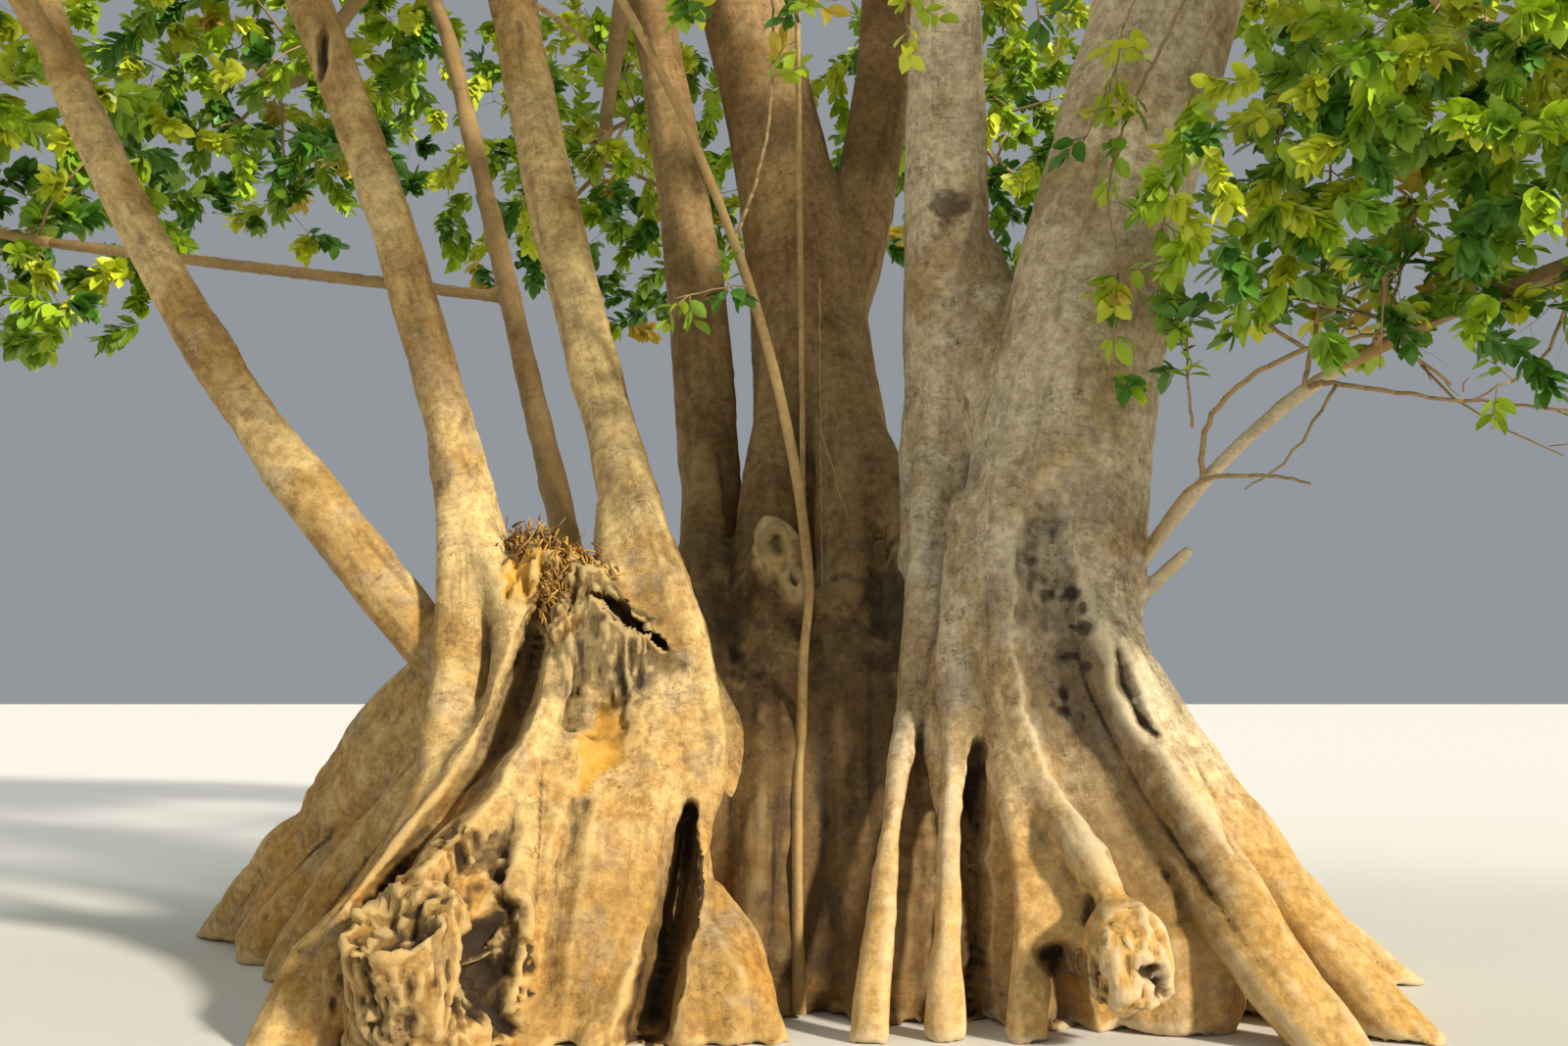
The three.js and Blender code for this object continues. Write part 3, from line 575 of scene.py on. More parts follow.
# Spends the triangles where the bark is seen from nearby
def thinOut(name, mesh):
    mesh.calc_loop_triangles()
    piece = bpy.data.objects.new(name, mesh)
    bpy.context.collection.objects.link(piece)
    height = meshCoordinates(mesh)[:, 2]
    upper = piece.vertex_groups.new(name="upper")
    upper.add(np.nonzero(height > wood["fineBelow"])[0].tolist(), 1, "REPLACE")
    upper.add(np.nonzero(height <= wood["fineBelow"])[0].tolist(), wood["fineWeight"], "REPLACE")
    fewer = piece.modifiers.new("fewer", "DECIMATE")
    fewer.ratio = min(1, wood["triangles"] / len(mesh.loop_triangles))
    fewer.vertex_group = "upper"
    thin = bpy.data.meshes.new_from_object(piece.evaluated_get(bpy.context.evaluated_depsgraph_get()))
    bpy.data.objects.remove(piece)
    place = meshCoordinates(thin)
    place[:, 2] = np.maximum(place[:, 2], 0)
    setCoordinates(thin, place)
    return thin


# A speck that the remesh leaves inside the wood isn't kept
def dropSpecks(mesh):
    bm = bmesh.new()
    bm.from_mesh(mesh)
    seen = [False] * len(bm.verts)
    specks = []
    for first in bm.verts:
        shell, front = [], [] if seen[first.index] else [first]
        seen[first.index] = True
        while front:
            vert = front.pop()
            shell.append(vert)
            for edge in vert.link_edges:
                other = edge.other_vert(vert)
                if not seen[other.index]:
                    seen[other.index] = True
                    front.append(other)
        if len(shell) < wood["speck"]:
            specks += shell
    bmesh.ops.delete(bm, geom=specks, context="VERTS")
    bm.to_mesh(mesh)
    bm.free()


def makeCluster(name, limbs, voxel, bark, replaced, dents, grooves):
    mesh = fuseLimbs(limbs, voxel)
    cutAtGround(mesh)
    fillCrooks(mesh, wood["fillet"])
    refineGrooves(mesh, grooves)
    means = neighbourMeans(mesh)
    grooveStainAndShade = pressGrooves(mesh, means, grooves)
    carve(mesh, limbs, means, dents=dents, grooveStainAndShade=grooveStainAndShade)
    mesh = thinOut(name, mesh)
    dropSpecks(mesh)
    shadeSmooth(mesh)
    mesh.calc_loop_triangles()
    print(name, len(mesh.loop_triangles), "triangles")
    return addPiece(name, mesh, [bark], replaced)


# Materials


# A colour code as the linear values that a shader takes
def tint(code):
    values = [int(code[i:i + 2], 16) / 255 for i in (0, 2, 4)]
    return (*[v / 12.92 if v <= .04045 else ((v + .055) / 1.055) ** 2.4 for v in values], 1)


def addNode(tree, kind, inputs=None, **settings):
    node = tree.nodes.new(kind)
    for key, value in settings.items():
        setattr(node, key, value)
    for key, value in (inputs or {}).items():
        if isinstance(value, bpy.types.NodeSocket):
            tree.links.new(value, node.inputs[key])
        else:
            node.inputs[key].default_value = value
    return node


def noiseOn(tree, vector, scale, detail, roughness):
    values = {"Vector": vector, "Scale": scale, "Detail": detail, "Roughness": roughness}
    return addNode(tree, "ShaderNodeTexNoise", values).outputs["Fac"]


def stretched(tree, vector, scale):
    return addNode(tree, "ShaderNodeMapping", {"Vector": vector, "Scale": scale}).outputs["Vector"]


def between(tree, value, low, high):
    inputs = {"Value": value, "From Min": low, "From Max": high}
    return addNode(tree, "ShaderNodeMapRange", inputs, interpolation_type="SMOOTHSTEP").outputs["Result"]


def times(tree, a, b, operation="MULTIPLY"):
    return addNode(tree, "ShaderNodeMath", {0: a, 1: b}, operation=operation).outputs["Value"]


def blended(tree, share, a, b, way="MIX"):
    node = addNode(tree, "ShaderNodeMix", {0: share, 6: a, 7: b}, data_type="RGBA", blend_type=way)
    return node.outputs[2]


def makeBark(name, look):
    material = bpy.data.materials.new(name)
    material.use_nodes = True
    tree = material.node_tree
    surface = tree.nodes["Principled BSDF"]
    place = addNode(tree, "ShaderNodeTexCoord").outputs["Object"]
    grain = addNode(tree, "ShaderNodeAttribute", attribute_name="grain").outputs["Vector"]
    height = addNode(tree, "ShaderNodeSeparateXYZ", {"Vector": place}).outputs["Z"]
    hollow, recess, rawWoodAndPaintedSun, stain = (addNode(tree, "ShaderNodeAttribute", attribute_name=name).outputs["Fac"]
                                  for name in ("hollow", "recess", "rawWoodAndPaintedSun", "stain"))

    # One more tone over the colour, where the share has it
    def toned(share, strength, tone):
        return blended(tree, times(tree, share, strength), colour, tint(look[tone]))

    # The patterns, from broad clouds to fine mottling, then those that run with the grain
    broad, cloud = noiseOn(tree, place, 1.1, 8, .62), noiseOn(tree, place, 3.6, 9, .68)
    warmth, bruise = noiseOn(tree, place, 2.3, 8, .66), noiseOn(tree, place, 6, 8, .62)
    flakes, specks = noiseOn(tree, place, 19, 6, .6), noiseOn(tree, place, 55, 3, .5)
    mottle, pores = noiseOn(tree, place, 17, 8, .74), noiseOn(tree, place, 46, 5, .7)
    streak = noiseOn(tree, stretched(tree, grain, (10, 10, 1.3)), 1, 8, .66)
    band = noiseOn(tree, stretched(tree, grain, (6, 6, 40)), 1, 4, .7)
    shadeStreaks = noiseOn(tree, stretched(tree, grain, (5, 5, 1.2)), 1, 8, .68)
    ridges = noiseOn(tree, stretched(tree, grain, (16, 16, 2.2)), 1, 5, .6)
    stray = addNode(tree, "ShaderNodeTexNoise", {"Vector": place, "Scale": 5.0, "Detail": 4.0})
    strayed = addNode(tree, "ShaderNodeVectorMath", {0: stray.outputs["Color"], 1: place, 2: place},
                      operation="MULTIPLY_ADD")
    cracks = addNode(tree, "ShaderNodeTexVoronoi", {"Vector": strayed.outputs["Vector"], "Scale": 6.5},
                     feature="DISTANCE_TO_EDGE")

    # The tones, each over the last, calmer high up the stems
    calm = times(tree, times(tree, between(tree, height, 4.2, 1.2), .55), .45, "ADD")
    colour = blended(tree, between(tree, broad, .42, .56), tint(look["tan"]), tint(look["pale"]))
    colour = toned(times(tree, between(tree, cloud, .52, .58), calm), look["greys"], "grey")
    warm = times(tree, between(tree, warmth, .47, .58), between(tree, height, 2.3, .5))
    colour = toned(warm, look["ochres"], "ochre")
    colour = toned(times(tree, between(tree, bruise, .6, .66), calm), .55, "brown")
    colour = toned(between(tree, streak, .52, .64), look["streaks"], "brown")
    dash = times(tree, between(tree, band, .57, .63), between(tree, cloud, .4, .56))
    colour = toned(dash, look["bands"], "brown")
    crack = between(tree, cracks.outputs["Distance"], .035, .008)
    colour = toned(times(tree, crack, between(tree, bruise, .46, .56)), look["cracks"], "stain")
    flake = times(tree, between(tree, flakes, .54, .57), between(tree, broad, .46, .55))
    colour = toned(flake, look["flakes"], "flake")
    colour = toned(between(tree, specks, .66, .7), .6, "brown")
    golden = times(tree, between(tree, height, 1.7, .5), between(tree, broad, .3, .55))
    colour = toned(golden, look["golds"], "gold")
    shade = blended(tree, between(tree, mottle, .36, .64), (.7, .66, .6, 1), (1.12, 1.12, 1.12, 1))
    colour = blended(tree, 1.0, colour, shade, "MULTIPLY")
    # Painted shade: broad recesses and fine hollows are darkened, broken into streaks along the grain
    broadPaintedShade = times(tree, between(tree, recess, .15, .95), between(tree, shadeStreaks, .32, .56))
    colour = toned(broadPaintedShade, look["paintedHollowShade"], "brown")
    deep = times(tree, between(tree, hollow, .1, .7), between(tree, shadeStreaks, .3, .52))
    colour = toned(deep, look["paintedHollowShade"], "stain")
    # Marks laid on in ragged patches: exposed wood, which on the back knob is painted sunlight, and stained
    # wood, which is mostly painted shade
    ragged = between(tree, times(tree, mottle, bruise, "ADD"), .66, .98)
    for mark, tone in ((rawWoodAndPaintedSun, "rawWoodAndPaintedSun"), (stain, "stain")):
        colour = toned(times(tree, mark, ragged), .92, tone)
    colour = toned(between(tree, hollow, -.15, -.8), .5, "pale")  # painted highlight: paler on the ridges
    tree.links.new(colour, surface.inputs["Base Color"])

    rough = blended(tree, cloud, (.78, .78, .78, 1), (.92, .92, .92, 1))
    tree.links.new(rough, surface.inputs["Roughness"])
    surface.inputs["Specular IOR Level"].default_value = .3
    bump = addNode(tree, "ShaderNodeBump", {"Height": ridges, "Strength": .4, "Distance": .014})
    for pattern, distance in ((mottle, .009), (pores, .006)):
        under = bump.outputs["Normal"]
        inputs = {"Height": pattern, "Strength": .5, "Distance": distance, "Normal": under}
        bump = addNode(tree, "ShaderNodeBump", inputs)
    tree.links.new(bump.outputs["Normal"], surface.inputs["Normal"])
    return material


# Tones, and how strongly each is laid on. The near-black tone darkens stains, cracks and the painted shade,
# and one strength sets how far recesses and hollows are darkened as painted shade. The back body's darker,
# browner tones are painted shade for the back of the trunk, and its pale tone for exposed wood paints a
# patch of sunlight on its knob.
leftLook = dict(tan="ac8a50", pale="d3b87f", grey="a1927a", ochre="b07f30", brown="6b5030", stain="261b10",
                rawWoodAndPaintedSun="cc962f", flake="c9b184", gold="b8873a", greys=.6, ochres=.75, streaks=.4, bands=.4,
                cracks=.6, flakes=.4, paintedHollowShade=.85, golds=.4)
rightLook = dict(leftLook, tan="b39c74", pale="d9caa8", grey="aba08e", brown="6e5a40", flake="d8ccb2",
                 gold="c99c4c", greys=.75, ochres=.6, flakes=.7, golds=.8)
backLook = dict(leftLook, tan="84683f", pale="a3875a", grey="7d6d52", ochre="84602a", brown="513c24",
                flake="8f7c5a", gold="7a5626", rawWoodAndPaintedSun="dcc48c")
boughLook = dict(leftLook, tan="9a7b4a", pale="b89a67", grey="8f8167", brown="5f4930", flakes=.2)
leftBark = makeBark("goldenBark", leftLook)
rightBark = makeBark("greyPeelingBark", rightLook)
backBark = makeBark("shadedBark", backLook)
boughBark = makeBark("boughBark", boughLook)


def makePlain(name, code, roughness):
    material = bpy.data.materials.new(name)
    material.use_nodes = True
    surface = material.node_tree.nodes["Principled BSDF"]
    surface.inputs["Base Color"].default_value = tint(code)
    surface.inputs["Roughness"].default_value = roughness
    return material


leafTints = dict(sunlitLeaf="c8d231", freshLeaf="a3c024", midLeaf="7da326", deepLeaf="4e8022",
                 fadedLeaf="c9b23c")
leafShares = (.26, .30, .24, .17, .03)  # of the sprays, from the places with the most painted light to those with the most painted shade
leafMaterials = [makePlain(name, code, .45) for name, code in leafTints.items()]
twigBark = makePlain("twigBark", "a58a5e", .8)
print("materials made")

# The trunk and its stems, in three fused bodies. Strands are the ribs and folds that run over each body.

leftStrands = [
    Strand((-2.12, -.92, 3.05, .06), (-2.02, -.96, 2.74, .085), (-1.91, -1, 2.36, .1),
           (-1.74, -1.08, 2.1, .12), (-1.62, -1.16, 1.82, .13), (-1.67, -1.32, 1.4, .13),
           (-1.82, -1.52, 1.05, .12), (-2, -1.76, .7, .12), (-2.22, -1.96, .36, .11),
           (-2.36, -2.06, -.1, .11)),
    Strand((-2.02, -.94, 2.6, .09), (-1.95, -1.08, 2.05, .12), (-1.94, -1.2, 1.5, .13),
           (-1.97, -1.42, 1.05, .12), (-2.13, -1.7, .66, .11), (-2.4, -1.95, .3, .1),
           (-2.56, -2.08, -.1, .09)),
    Strand((-1.33, -1.25, 2.02, .05), (-1.42, -1.4, 1.6, .1), (-1.5, -1.55, 1.28, .12),
           (-1.72, -1.78, .97, .12), (-1.9, -1.95, .66, .13), (-2, -2.03, .3, .14),
           (-2.02, -2.05, -.1, .15)),
    Strand((-1.55, -1.5, 1.1, .2), (-1.62, -1.8, .55, .25), (-1.64, -1.88, -.1, .27)),
    Strand((-1.5, -1.45, 1.2, .18), (-1.5, -1.78, .6, .22), (-1.52, -1.9, -.1, .22)),
    Strand((-1.25, -1.35, 1.3, .2), (-1.27, -1.72, .6, .2), (-1.28, -1.86, -.1, .2)),
    Strand((-1, -1.3, 1.3, .18), (-1.05, -1.68, .6, .18), (-1.1, -1.84, -.1, .19)),
    Strand((-1.24, -.52, 2.95, .1), (-1.02, -.85, 2.3, .16), (-.84, -1.1, 1.75, .16),
           (-.7, -1.32, 1.2, .14), (-.7, -1.53, .85, .09), (-.73, -1.74, .5, .09), (-.72, -1.9, .15, .12),
           (-.7, -1.92, -.1, .13)),
    Strand((-1.17, -.6, 2.6, .14), (-1.1, -.95, 2, .18), (-.97, -1.25, 1.4, .19), (-.94, -1.5, .95, .17)),
    Strand((-1.2, -1.22, 1.2, .3), (-1.22, -1.26, 1.72, .27), (-1.26, -1.27, 1.98, .15),
           (-1.29, -1.25, 2.14, .06), deep=.4, side=(1, 0, 0)),
    Strand((-1, -1.2, 1.3, .17), (-.99, -1.24, 1.6, .15), (-.97, -1.24, 1.84, .1), deep=.5, side=(1, 0, 0)),
    Strand((-.68, -1.72, .42, .07), (-.62, -1.8, .34, .11), (-.56, -1.86, .18, .15),
           (-.54, -1.88, -.1, .17)),
    Strand((-.86, -1.8, .35, .16), (-.95, -1.9, .1, .2), (-.97, -1.92, -.1, .2)),
    Strand((-1.62, -.75, 1.35, .3), (-2.05, -.62, .95, .33), (-2.42, -.45, .5, .33), (-2.75, -.3, 0, .32),
           (-2.8, -.27, -.1, .32)),
    Strand((-1.62, -.9, 1.1, .28), (-2.05, -.95, .65, .28), (-2.35, -1, .2, .28), (-2.45, -1, -.1, .27)),
    Strand((-2.7, -.05, .6, .2), (-3.1, .2, .25, .25), (-3.3, .3, -.1, .27)),
    Strand((-1.64, -1, 2.25, .09), (-1.54, -1.06, 2.16, .13), (-1.47, -1.12, 1.98, .14),
           (-1.45, -1.2, 1.75, .1)),
    Strand((-1.5, -1.03, 2.22, .08), (-1.38, -1.08, 2.14, .1), (-1.26, -1.1, 2.05, .08)),
]
rightStrands = [
    Strand((.9, -.95, 2.9, .12), (.84, -1.12, 2.3, .16), (.84, -1.2, 1.85, .16), (.85, -1.27, 1.5, .13),
           (.9, -1.46, 1.14, .1), (.99, -1.68, .92, .09), (1.08, -1.84, .74, .08), (1.15, -1.96, .56, .08)),
    Strand((.7, -.9, 2.6, .14), (.68, -1.03, 2.1, .15), (.66, -1.1, 1.75, .15), (.72, -1.22, 1.4, .11),
           (.77, -1.42, 1.09, .085), (.79, -1.6, .8, .075), (.79, -1.76, .5, .08), (.77, -1.86, .2, .09),
           (.76, -1.88, -.1, .1)),
    Strand((.62, -.95, 2.3, .1), (.57, -1.07, 1.8, .1), (.55, -1.15, 1.45, .09), (.53, -1.27, 1.18, .065),
           (.48, -1.5, .92, .055), (.45, -1.68, .64, .062), (.42, -1.82, .3, .075), (.41, -1.86, -.1, .09)),
    Strand((.56, -.3, 3, .1), (.52, -.5, 2.5, .14), (.45, -.72, 1.95, .12), (.36, -.92, 1.5, .08),
           (.27, -1.18, 1.16, .06), (.21, -1.42, .86, .06), (.16, -1.66, .56, .07), (.1, -1.84, .25, .09),
           (.07, -1.9, -.1, .1)),
    Strand((.83, -1.42, 1.08, .07), (.87, -1.62, .82, .13), (.91, -1.76, .62, .2), (.91, -1.84, .42, .2),
           (.84, -1.86, .22, .1), deep=.32, side=(1, 0, 0)),
    Strand((1.1, -1.9, .6, .12), (1.15, -2.04, .46, .21), (1.17, -2.1, .3, .19), (1.17, -2.09, .17, .17)),
    Strand((1.27, -.95, 2.9, .12), (1.33, -1.02, 2.1, .14), (1.47, -1.1, 1.58, .13),
           (1.75, -1.25, 1.12, .11), (2, -1.45, .74, .11), (2.2, -1.66, .36, .115), (2.36, -1.8, -.1, .12)),
    Strand((1.18, -1.05, 2.5, .06), (1.16, -1.17, 1.94, .06), (1.23, -1.3, 1.6, .055),
           (1.29, -1.4, 1.38, .05), (1.36, -1.48, 1.2, .05), (1.49, -1.58, 1, .055),
           (1.62, -1.72, .8, .06), (1.86, -1.95, .4, .08), (1.98, -2.02, -.1, .11)),
    Strand((1, -.95, 2.3, .22), (1.06, -1.06, 1.6, .25), (1.2, -1.24, 1, .3), (1.35, -1.4, .6, .33),
           (1.45, -1.5, .2, .35), (1.48, -1.52, -.1, .35)),
    Strand((1.22, -.75, 2.1, .15), (1.42, -.92, 1.35, .18), (1.74, -1.15, .75, .2), (2.02, -1.35, .3, .22),
           (2.12, -1.4, -.1, .22)),
    Strand((2.1, -.72, .72, .12), (2.36, -.86, .42, .13), (2.56, -1, .1, .13), (2.6, -1.02, -.1, .13)),
]
backStrands = [
    Strand((-.36, .95, 3.9, .06), (-.38, .66, 3.1, .14), (-.4, .3, 2.5, .19), (-.38, -.1, 1.8, .24),
           (-.36, -.62, 1.15, .25), (-.36, -1.05, .5, .26), (-.36, -1.2, -.1, .27)),
    Strand((-.02, .85, 3.8, .06), (.02, .62, 3.2, .14), (.05, .3, 2.6, .18), (.06, -.2, 1.8, .22),
           (.1, -.72, 1.05, .22), (.12, -1.2, .4, .2), (.12, -1.3, -.1, .2)),
    Strand((-.8, .75, 3.1, .06), (-.79, .5, 2.6, .13), (-.78, .1, 2.1, .19), (-.68, -.35, 1.45, .24),
           (-.62, -.8, .8, .25), (-.6, -1.1, -.1, .24)),
    Strand((.08, .9, 3.9, .05), (.22, .62, 3.2, .1), (.43, .1, 2.45, .14), (.44, -.45, 1.7, .2),
           (.37, -.9, 1.05, .2), (.3, -1.3, .4, .18), (.28, -1.4, -.1, .18)),
    Strand((-.3, .05, 1.85, .24), (-.33, -.2, 2.15, .19), (-.35, -.36, 2.36, .13), (-.4, -.3, 2.5, .06)),
    Strand((-.27, -.2, 1.95, .12), (-.22, -.38, 2.08, .1), (-.17, -.42, 2.1, .05)),
    Strand((-.15, -.2, 1.95, .07), (.02, -.34, 2.08, .08), (.14, -.36, 2.02, .06)),
    Strand((-1.5, -.62, 1.1, .2), (-1.47, -.7, 1.7, .2), (-1.42, -.74, 2.15, .14)),
]
leftDents = [
    dict(place=(-1.17, -1.6, 1.38), size=(.11, .3, .28), depth=.035, rawWoodAndPaintedSun=.8),
    # Painted shade, partly weathered wood: the plate and its neighbour are darkened as if in the canopy's
    # shadow
    dict(place=(-1.22, -1.4, 1.8), size=(.3, .3, .42), rough=.02, stain=.75),
    dict(place=(-1, -1.4, 1.7), size=(.2, .3, .24), rough=.016, stain=.7),
    dict(place=(-1.54, -1.1, 2.16), size=(.26, .35, .22), rough=.04, rawWoodAndPaintedSun=.9),
    dict(place=(-1.34, -1.15, 2.08), size=(.2, .35, .14), rough=.035, rawWoodAndPaintedSun=.4, stain=.7),
    dict(place=(-1.44, -1.3, 1.86), size=(.16, .4, .14), rough=.03, rawWoodAndPaintedSun=.5, stain=.6),
    # Painted shade in the slot between two strands of the left stem
    dict(place=(-2.83, -.83, 5.03), size=(.048, .2, .17), depth=.05, stain=.9),
    # Painted shade: the hollow between the broken root and the wall, the cavity above it, the root's broken
    # end and the slit in it are darkened
    dict(place=(-1.56, -1.95, .36), size=(.15, .5, .36), depth=.16, stain=.85),
    dict(place=(-1.7, -1.75, .82), size=(.16, .4, .12), depth=.05, rough=.025, stain=.6),
    dict(place=(-1.93, -2.4, .58), size=(.18, .2, .16), depth=.14, stain=.6),
    dict(place=(-1.9, -2.2, .4), size=(.42, .42, .5), rough=.03, stain=.2),
    dict(place=(-2, -2.55, .3), size=(.05, .2, .25), depth=.09, stain=.7),
]
leftGrooves = [
    # The darkening inside the cleft, under the ledge and in the slot is painted shade
    dict(path=Strand((-1.24, -1.25, 2.02, .02), (-1.13, -1.25, 1.94, .05), (-1.06, -1.25, 1.85, .035),
                     (-.97, -1.25, 1.8, .022), (-.87, -1.25, 1.73, .015)), depth=.2, stain=.9, sharp=1.2),
    dict(path=Strand((-1.5, -1.25, 1.95, .08), (-1.58, -1.38, 1.5, .12), (-1.72, -1.55, 1.12, .13),
                     (-1.96, -1.7, .8, .11), (-2.22, -1.9, .48, .07)), depth=.3, stain=.45),
    dict(path=Strand((-.75, -1.5, .99, .03), (-.75, -1.6, .8, .06), (-.77, -1.72, .62, .085),
                     (-.81, -1.85, .44, .1), (-.9, -1.95, .08, .13)), depth=.36, stain=.8, closed=False),
    dict(path=Strand((-1.2, -1.6, 1.1, .06), (-1.3, -1.75, .7, .09), (-1.36, -1.9, .1, .12)), depth=.05,
         closed=False),
    dict(path=Strand((-1.5, -1.6, 1, .06), (-1.62, -1.75, .6, .08), (-1.66, -1.9, .1, .1)), depth=.06,
         closed=False),
]
rightDents = [
    # Painted shade in the burl's two holes
    dict(place=(1.25, -2.3, .36), size=(.08, .2, .045), depth=.1, stain=1),
    dict(place=(1.3, -2.25, .28), size=(.05, .2, .06), depth=.1, stain=1),
    dict(place=(1.16, -2.2, .36), size=(.28, .28, .34), rough=.03),
    dict(place=(.6, -.85, 4.2), size=(.2, .35, .16), depth=.015, stain=.85),
    dict(place=(.68, -.85, 3.98), size=(.08, .35, .08), depth=.01, stain=.8),
    dict(place=(.48, -.8, 3.88), size=(.06, .3, .05), depth=.03, stain=1),
]
# Bruises in the darkened flute, whose darkness is partly its own brown and partly painted shade
bruises = dict(seed=12, count=16, across=(.98, 1.2), y=-1.35, height=(1.25, 2.05), size=(.02, .05),
               through=.3)
chance = np.random.default_rng(bruises["seed"])
for _ in range(bruises["count"]):
    place = (chance.uniform(*bruises["across"]), bruises["y"], chance.uniform(*bruises["height"]))
    size = (chance.uniform(*bruises["size"]), bruises["through"], chance.uniform(*bruises["size"]))
    rightDents.append(dict(place=place, size=size, depth=.006, stain=.9))
rightGrooves = [
    # The darkening inside these grooves is painted shade, and in the broad flute it is partly the bark's
    # own brown as well
    dict(path=Strand((1, -1.1, 2.5, .08), (1.01, -1.18, 2.05, .17), (1.06, -1.3, 1.6, .22),
                     (1.2, -1.5, 1.18, .24), (1.4, -1.7, .8, .26), (1.6, -1.8, .4, .3)),
         depth=.1, stain=.5, sharp=.9),
    dict(path=Strand((1.3, -1.3, 1.74, .03), (1.34, -1.4, 1.52, .05), (1.44, -1.5, 1.28, .03)), depth=.09,
         stain=.6),
    dict(path=Strand((.4, -1.3, 1.4, .03), (.38, -1.3, 1.05, .04), (.34, -1.3, .75, .045),
                     (.3, -1.3, .4, .05), (.27, -1.3, -.05, .05)), depth=.2, stain=.6, closed=False),
    dict(path=Strand((.65, -1.2, 1.3, .03), (.63, -1.3, 1.02, .05), (.62, -1.3, .75, .06),
                     (.61, -1.35, .45, .065), (.59, -1.4, -.05, .06)), depth=.2, stain=.6, closed=False),
    dict(path=Strand((.9, -1.95, .4, .1), (.95, -2, .2, .13), (.98, -2, -.05, .14)), depth=.25, stain=.7,
         closed=False),
]
backDents = [
    # Painted shade: the hollow between the left and right bodies is darkened broadly, as if in shadow
    dict(place=(-.1, -.9, 1), size=(1, 1, 1.5), stain=.5),
    dict(place=(-.75, -.5, 1.9), size=(.35, .6, .5), stain=.6),
    dict(place=(.42, -.5, 2.1), size=(.3, .6, .7), stain=.8),
    # The knob: painted sunlight makes two patches of it pale, and its two holes are darkened as painted
    # shade
    dict(place=(-.33, -.5, 2.33), size=(.055, .3, .075), depth=.09, stain=1),
    dict(place=(-.35, -.45, 2.34), size=(.16, .35, .2), rough=.025, rawWoodAndPaintedSun=.95),
    dict(place=(-.24, -.45, 2.1), size=(.11, .35, .15), rough=.02, rawWoodAndPaintedSun=.9),
    dict(place=(-.25, -.55, 2.15), size=(.035, .3, .045), depth=.06, stain=.9),
]
# Each body: its bark, the limbs in it before the boughs of its stems, and its dents and grooves. Where
# strands or a slimmer root give a root of the source its form, the source's own isn't in the list.
slimRoot = Root((1.3, -.65, 2.1), (3.05, -.55), (.22, .1), 1.8)
bodies = dict(
    left=dict(look=leftBark, stems=("far_left_stem", "left_stem", "mid_left_stem"),
              dents=leftDents, grooves=leftGrooves,
              limbs=[coreLimbs["leftCore"], *rootLimbs[:5], rootLimbs[6], stubLimbs["brokenPlate"],
                     stubLimbs["brokenRoot"], *leftStrands]),
    right=dict(look=rightBark, stems=("right_stem", "centre_right_stem", "trunk"),
               dents=rightDents, grooves=rightGrooves,
               limbs=[coreLimbs["rightCore"], *rootLimbs[14:16], slimRoot, rootLimbs[17],
                      stubLimbs["crookWeb"], stubLimbs["deadStub"], *rightStrands]),
    back=dict(look=backBark, stems=("small_stem", "back_left_stem", "centre_stem", "centre_fork_stem"),
              dents=backDents, grooves=(),
              limbs=[coreLimbs["centreCore"], coreLimbs["heart"], *rootLimbs[7:9], *rootLimbs[18:],
                     *backStrands]))
for side, body in bodies.items():
    boughs = [mass["limb"] for mass in masses if mass["on"] in body["stems"]]
    limbs = [*body["limbs"], *[stemLimbs[name] for name in body["stems"] if name in stemLimbs], *boughs]
    nodes = ["trunk", *[name for name in body["stems"] if name != "trunk"],
             *[bough.name for bough in boughs]]
    makeCluster(side + "Trunk", limbs, wood["voxel"][side], body["look"], nodes, body["dents"],
                body["grooves"])

# The aerial roots, as thin as they look. The slanting one clings to the heart on its way to the ground.
slanting, hanging = aerialLimbs["slanting_aerial_root"], aerialLimbs["hanging_aerial_root"]
clinging = ((-.2, -.72, 1.7, .025), (-.21, -.76, 1.34, .026), (-.23, -.98, 1.06, .028),
            (-.235, -1.28, .61, .03), (-.23, -1.4, .17, .034), (-.23, -1.41, .01, .04))
thinRoots = [Strand(*[(*slanting.point(t), .025) for t in (1, .85, .7, .55, .4, .25)], *clinging),
             Strand(*[(*hanging.point(t), .017) for t in (1, .8, .6, .4, .2, 0)])]
bm = bmesh.new()
for root in thinRoots:
    addTube(bm, root, 12, lobes=.08)
aerialMesh = meshOf(bm, "aerialRoots")
carve(aerialMesh, thinRoots, neighbourMeans(aerialMesh), .5)
shadeSmooth(aerialMesh)
addPiece("aerialRoots", aerialMesh, [boughBark], list(aerialLimbs))
print("aerial roots made")

# Foliage: each mass branches by the source's rule and goes on to two finer levels of twigs, the last with
# the leaves

growth = dict(
    finer=(dict(count=46, low=.42, girth=.015, bare=.3), dict(count=230, low=.3, girth=.006, bare=.25)),
    furthest=.92, outwards=.6, stray=.05, tipRoom=.02, twigRoom=.01, testedAt=(.4, .75), thinning=.45,
    finerThinning=.5, bend=.07, leaves=26, leafLength=.165, leafFrom=.16, leafTurn=2.4,
    leafSpread=(.55, 1.15), leafSizes=(.72, 1.15), droop=.28, faceUp=1.1, faceStray=.45,
    inView=("right_low", "front_right_low"), inViewLength=.112, inViewCount=3,
    bareBelow=dict(right_low=3.2))
girthAt, tipGirthAt, bareAt, levelAt = 6, 7, 8, 9  # the columns of a twig's row, after its start and end
centres = np.array([mass["centre"] for mass in masses])
reaches = np.array([mass["reach"] for mass in masses])
limbPoints = np.concatenate([limb.samples for limb in everyLimb])
limbWidths = np.concatenate([limb.radius(evenSteps) * limb.deep for limb in everyLimb])


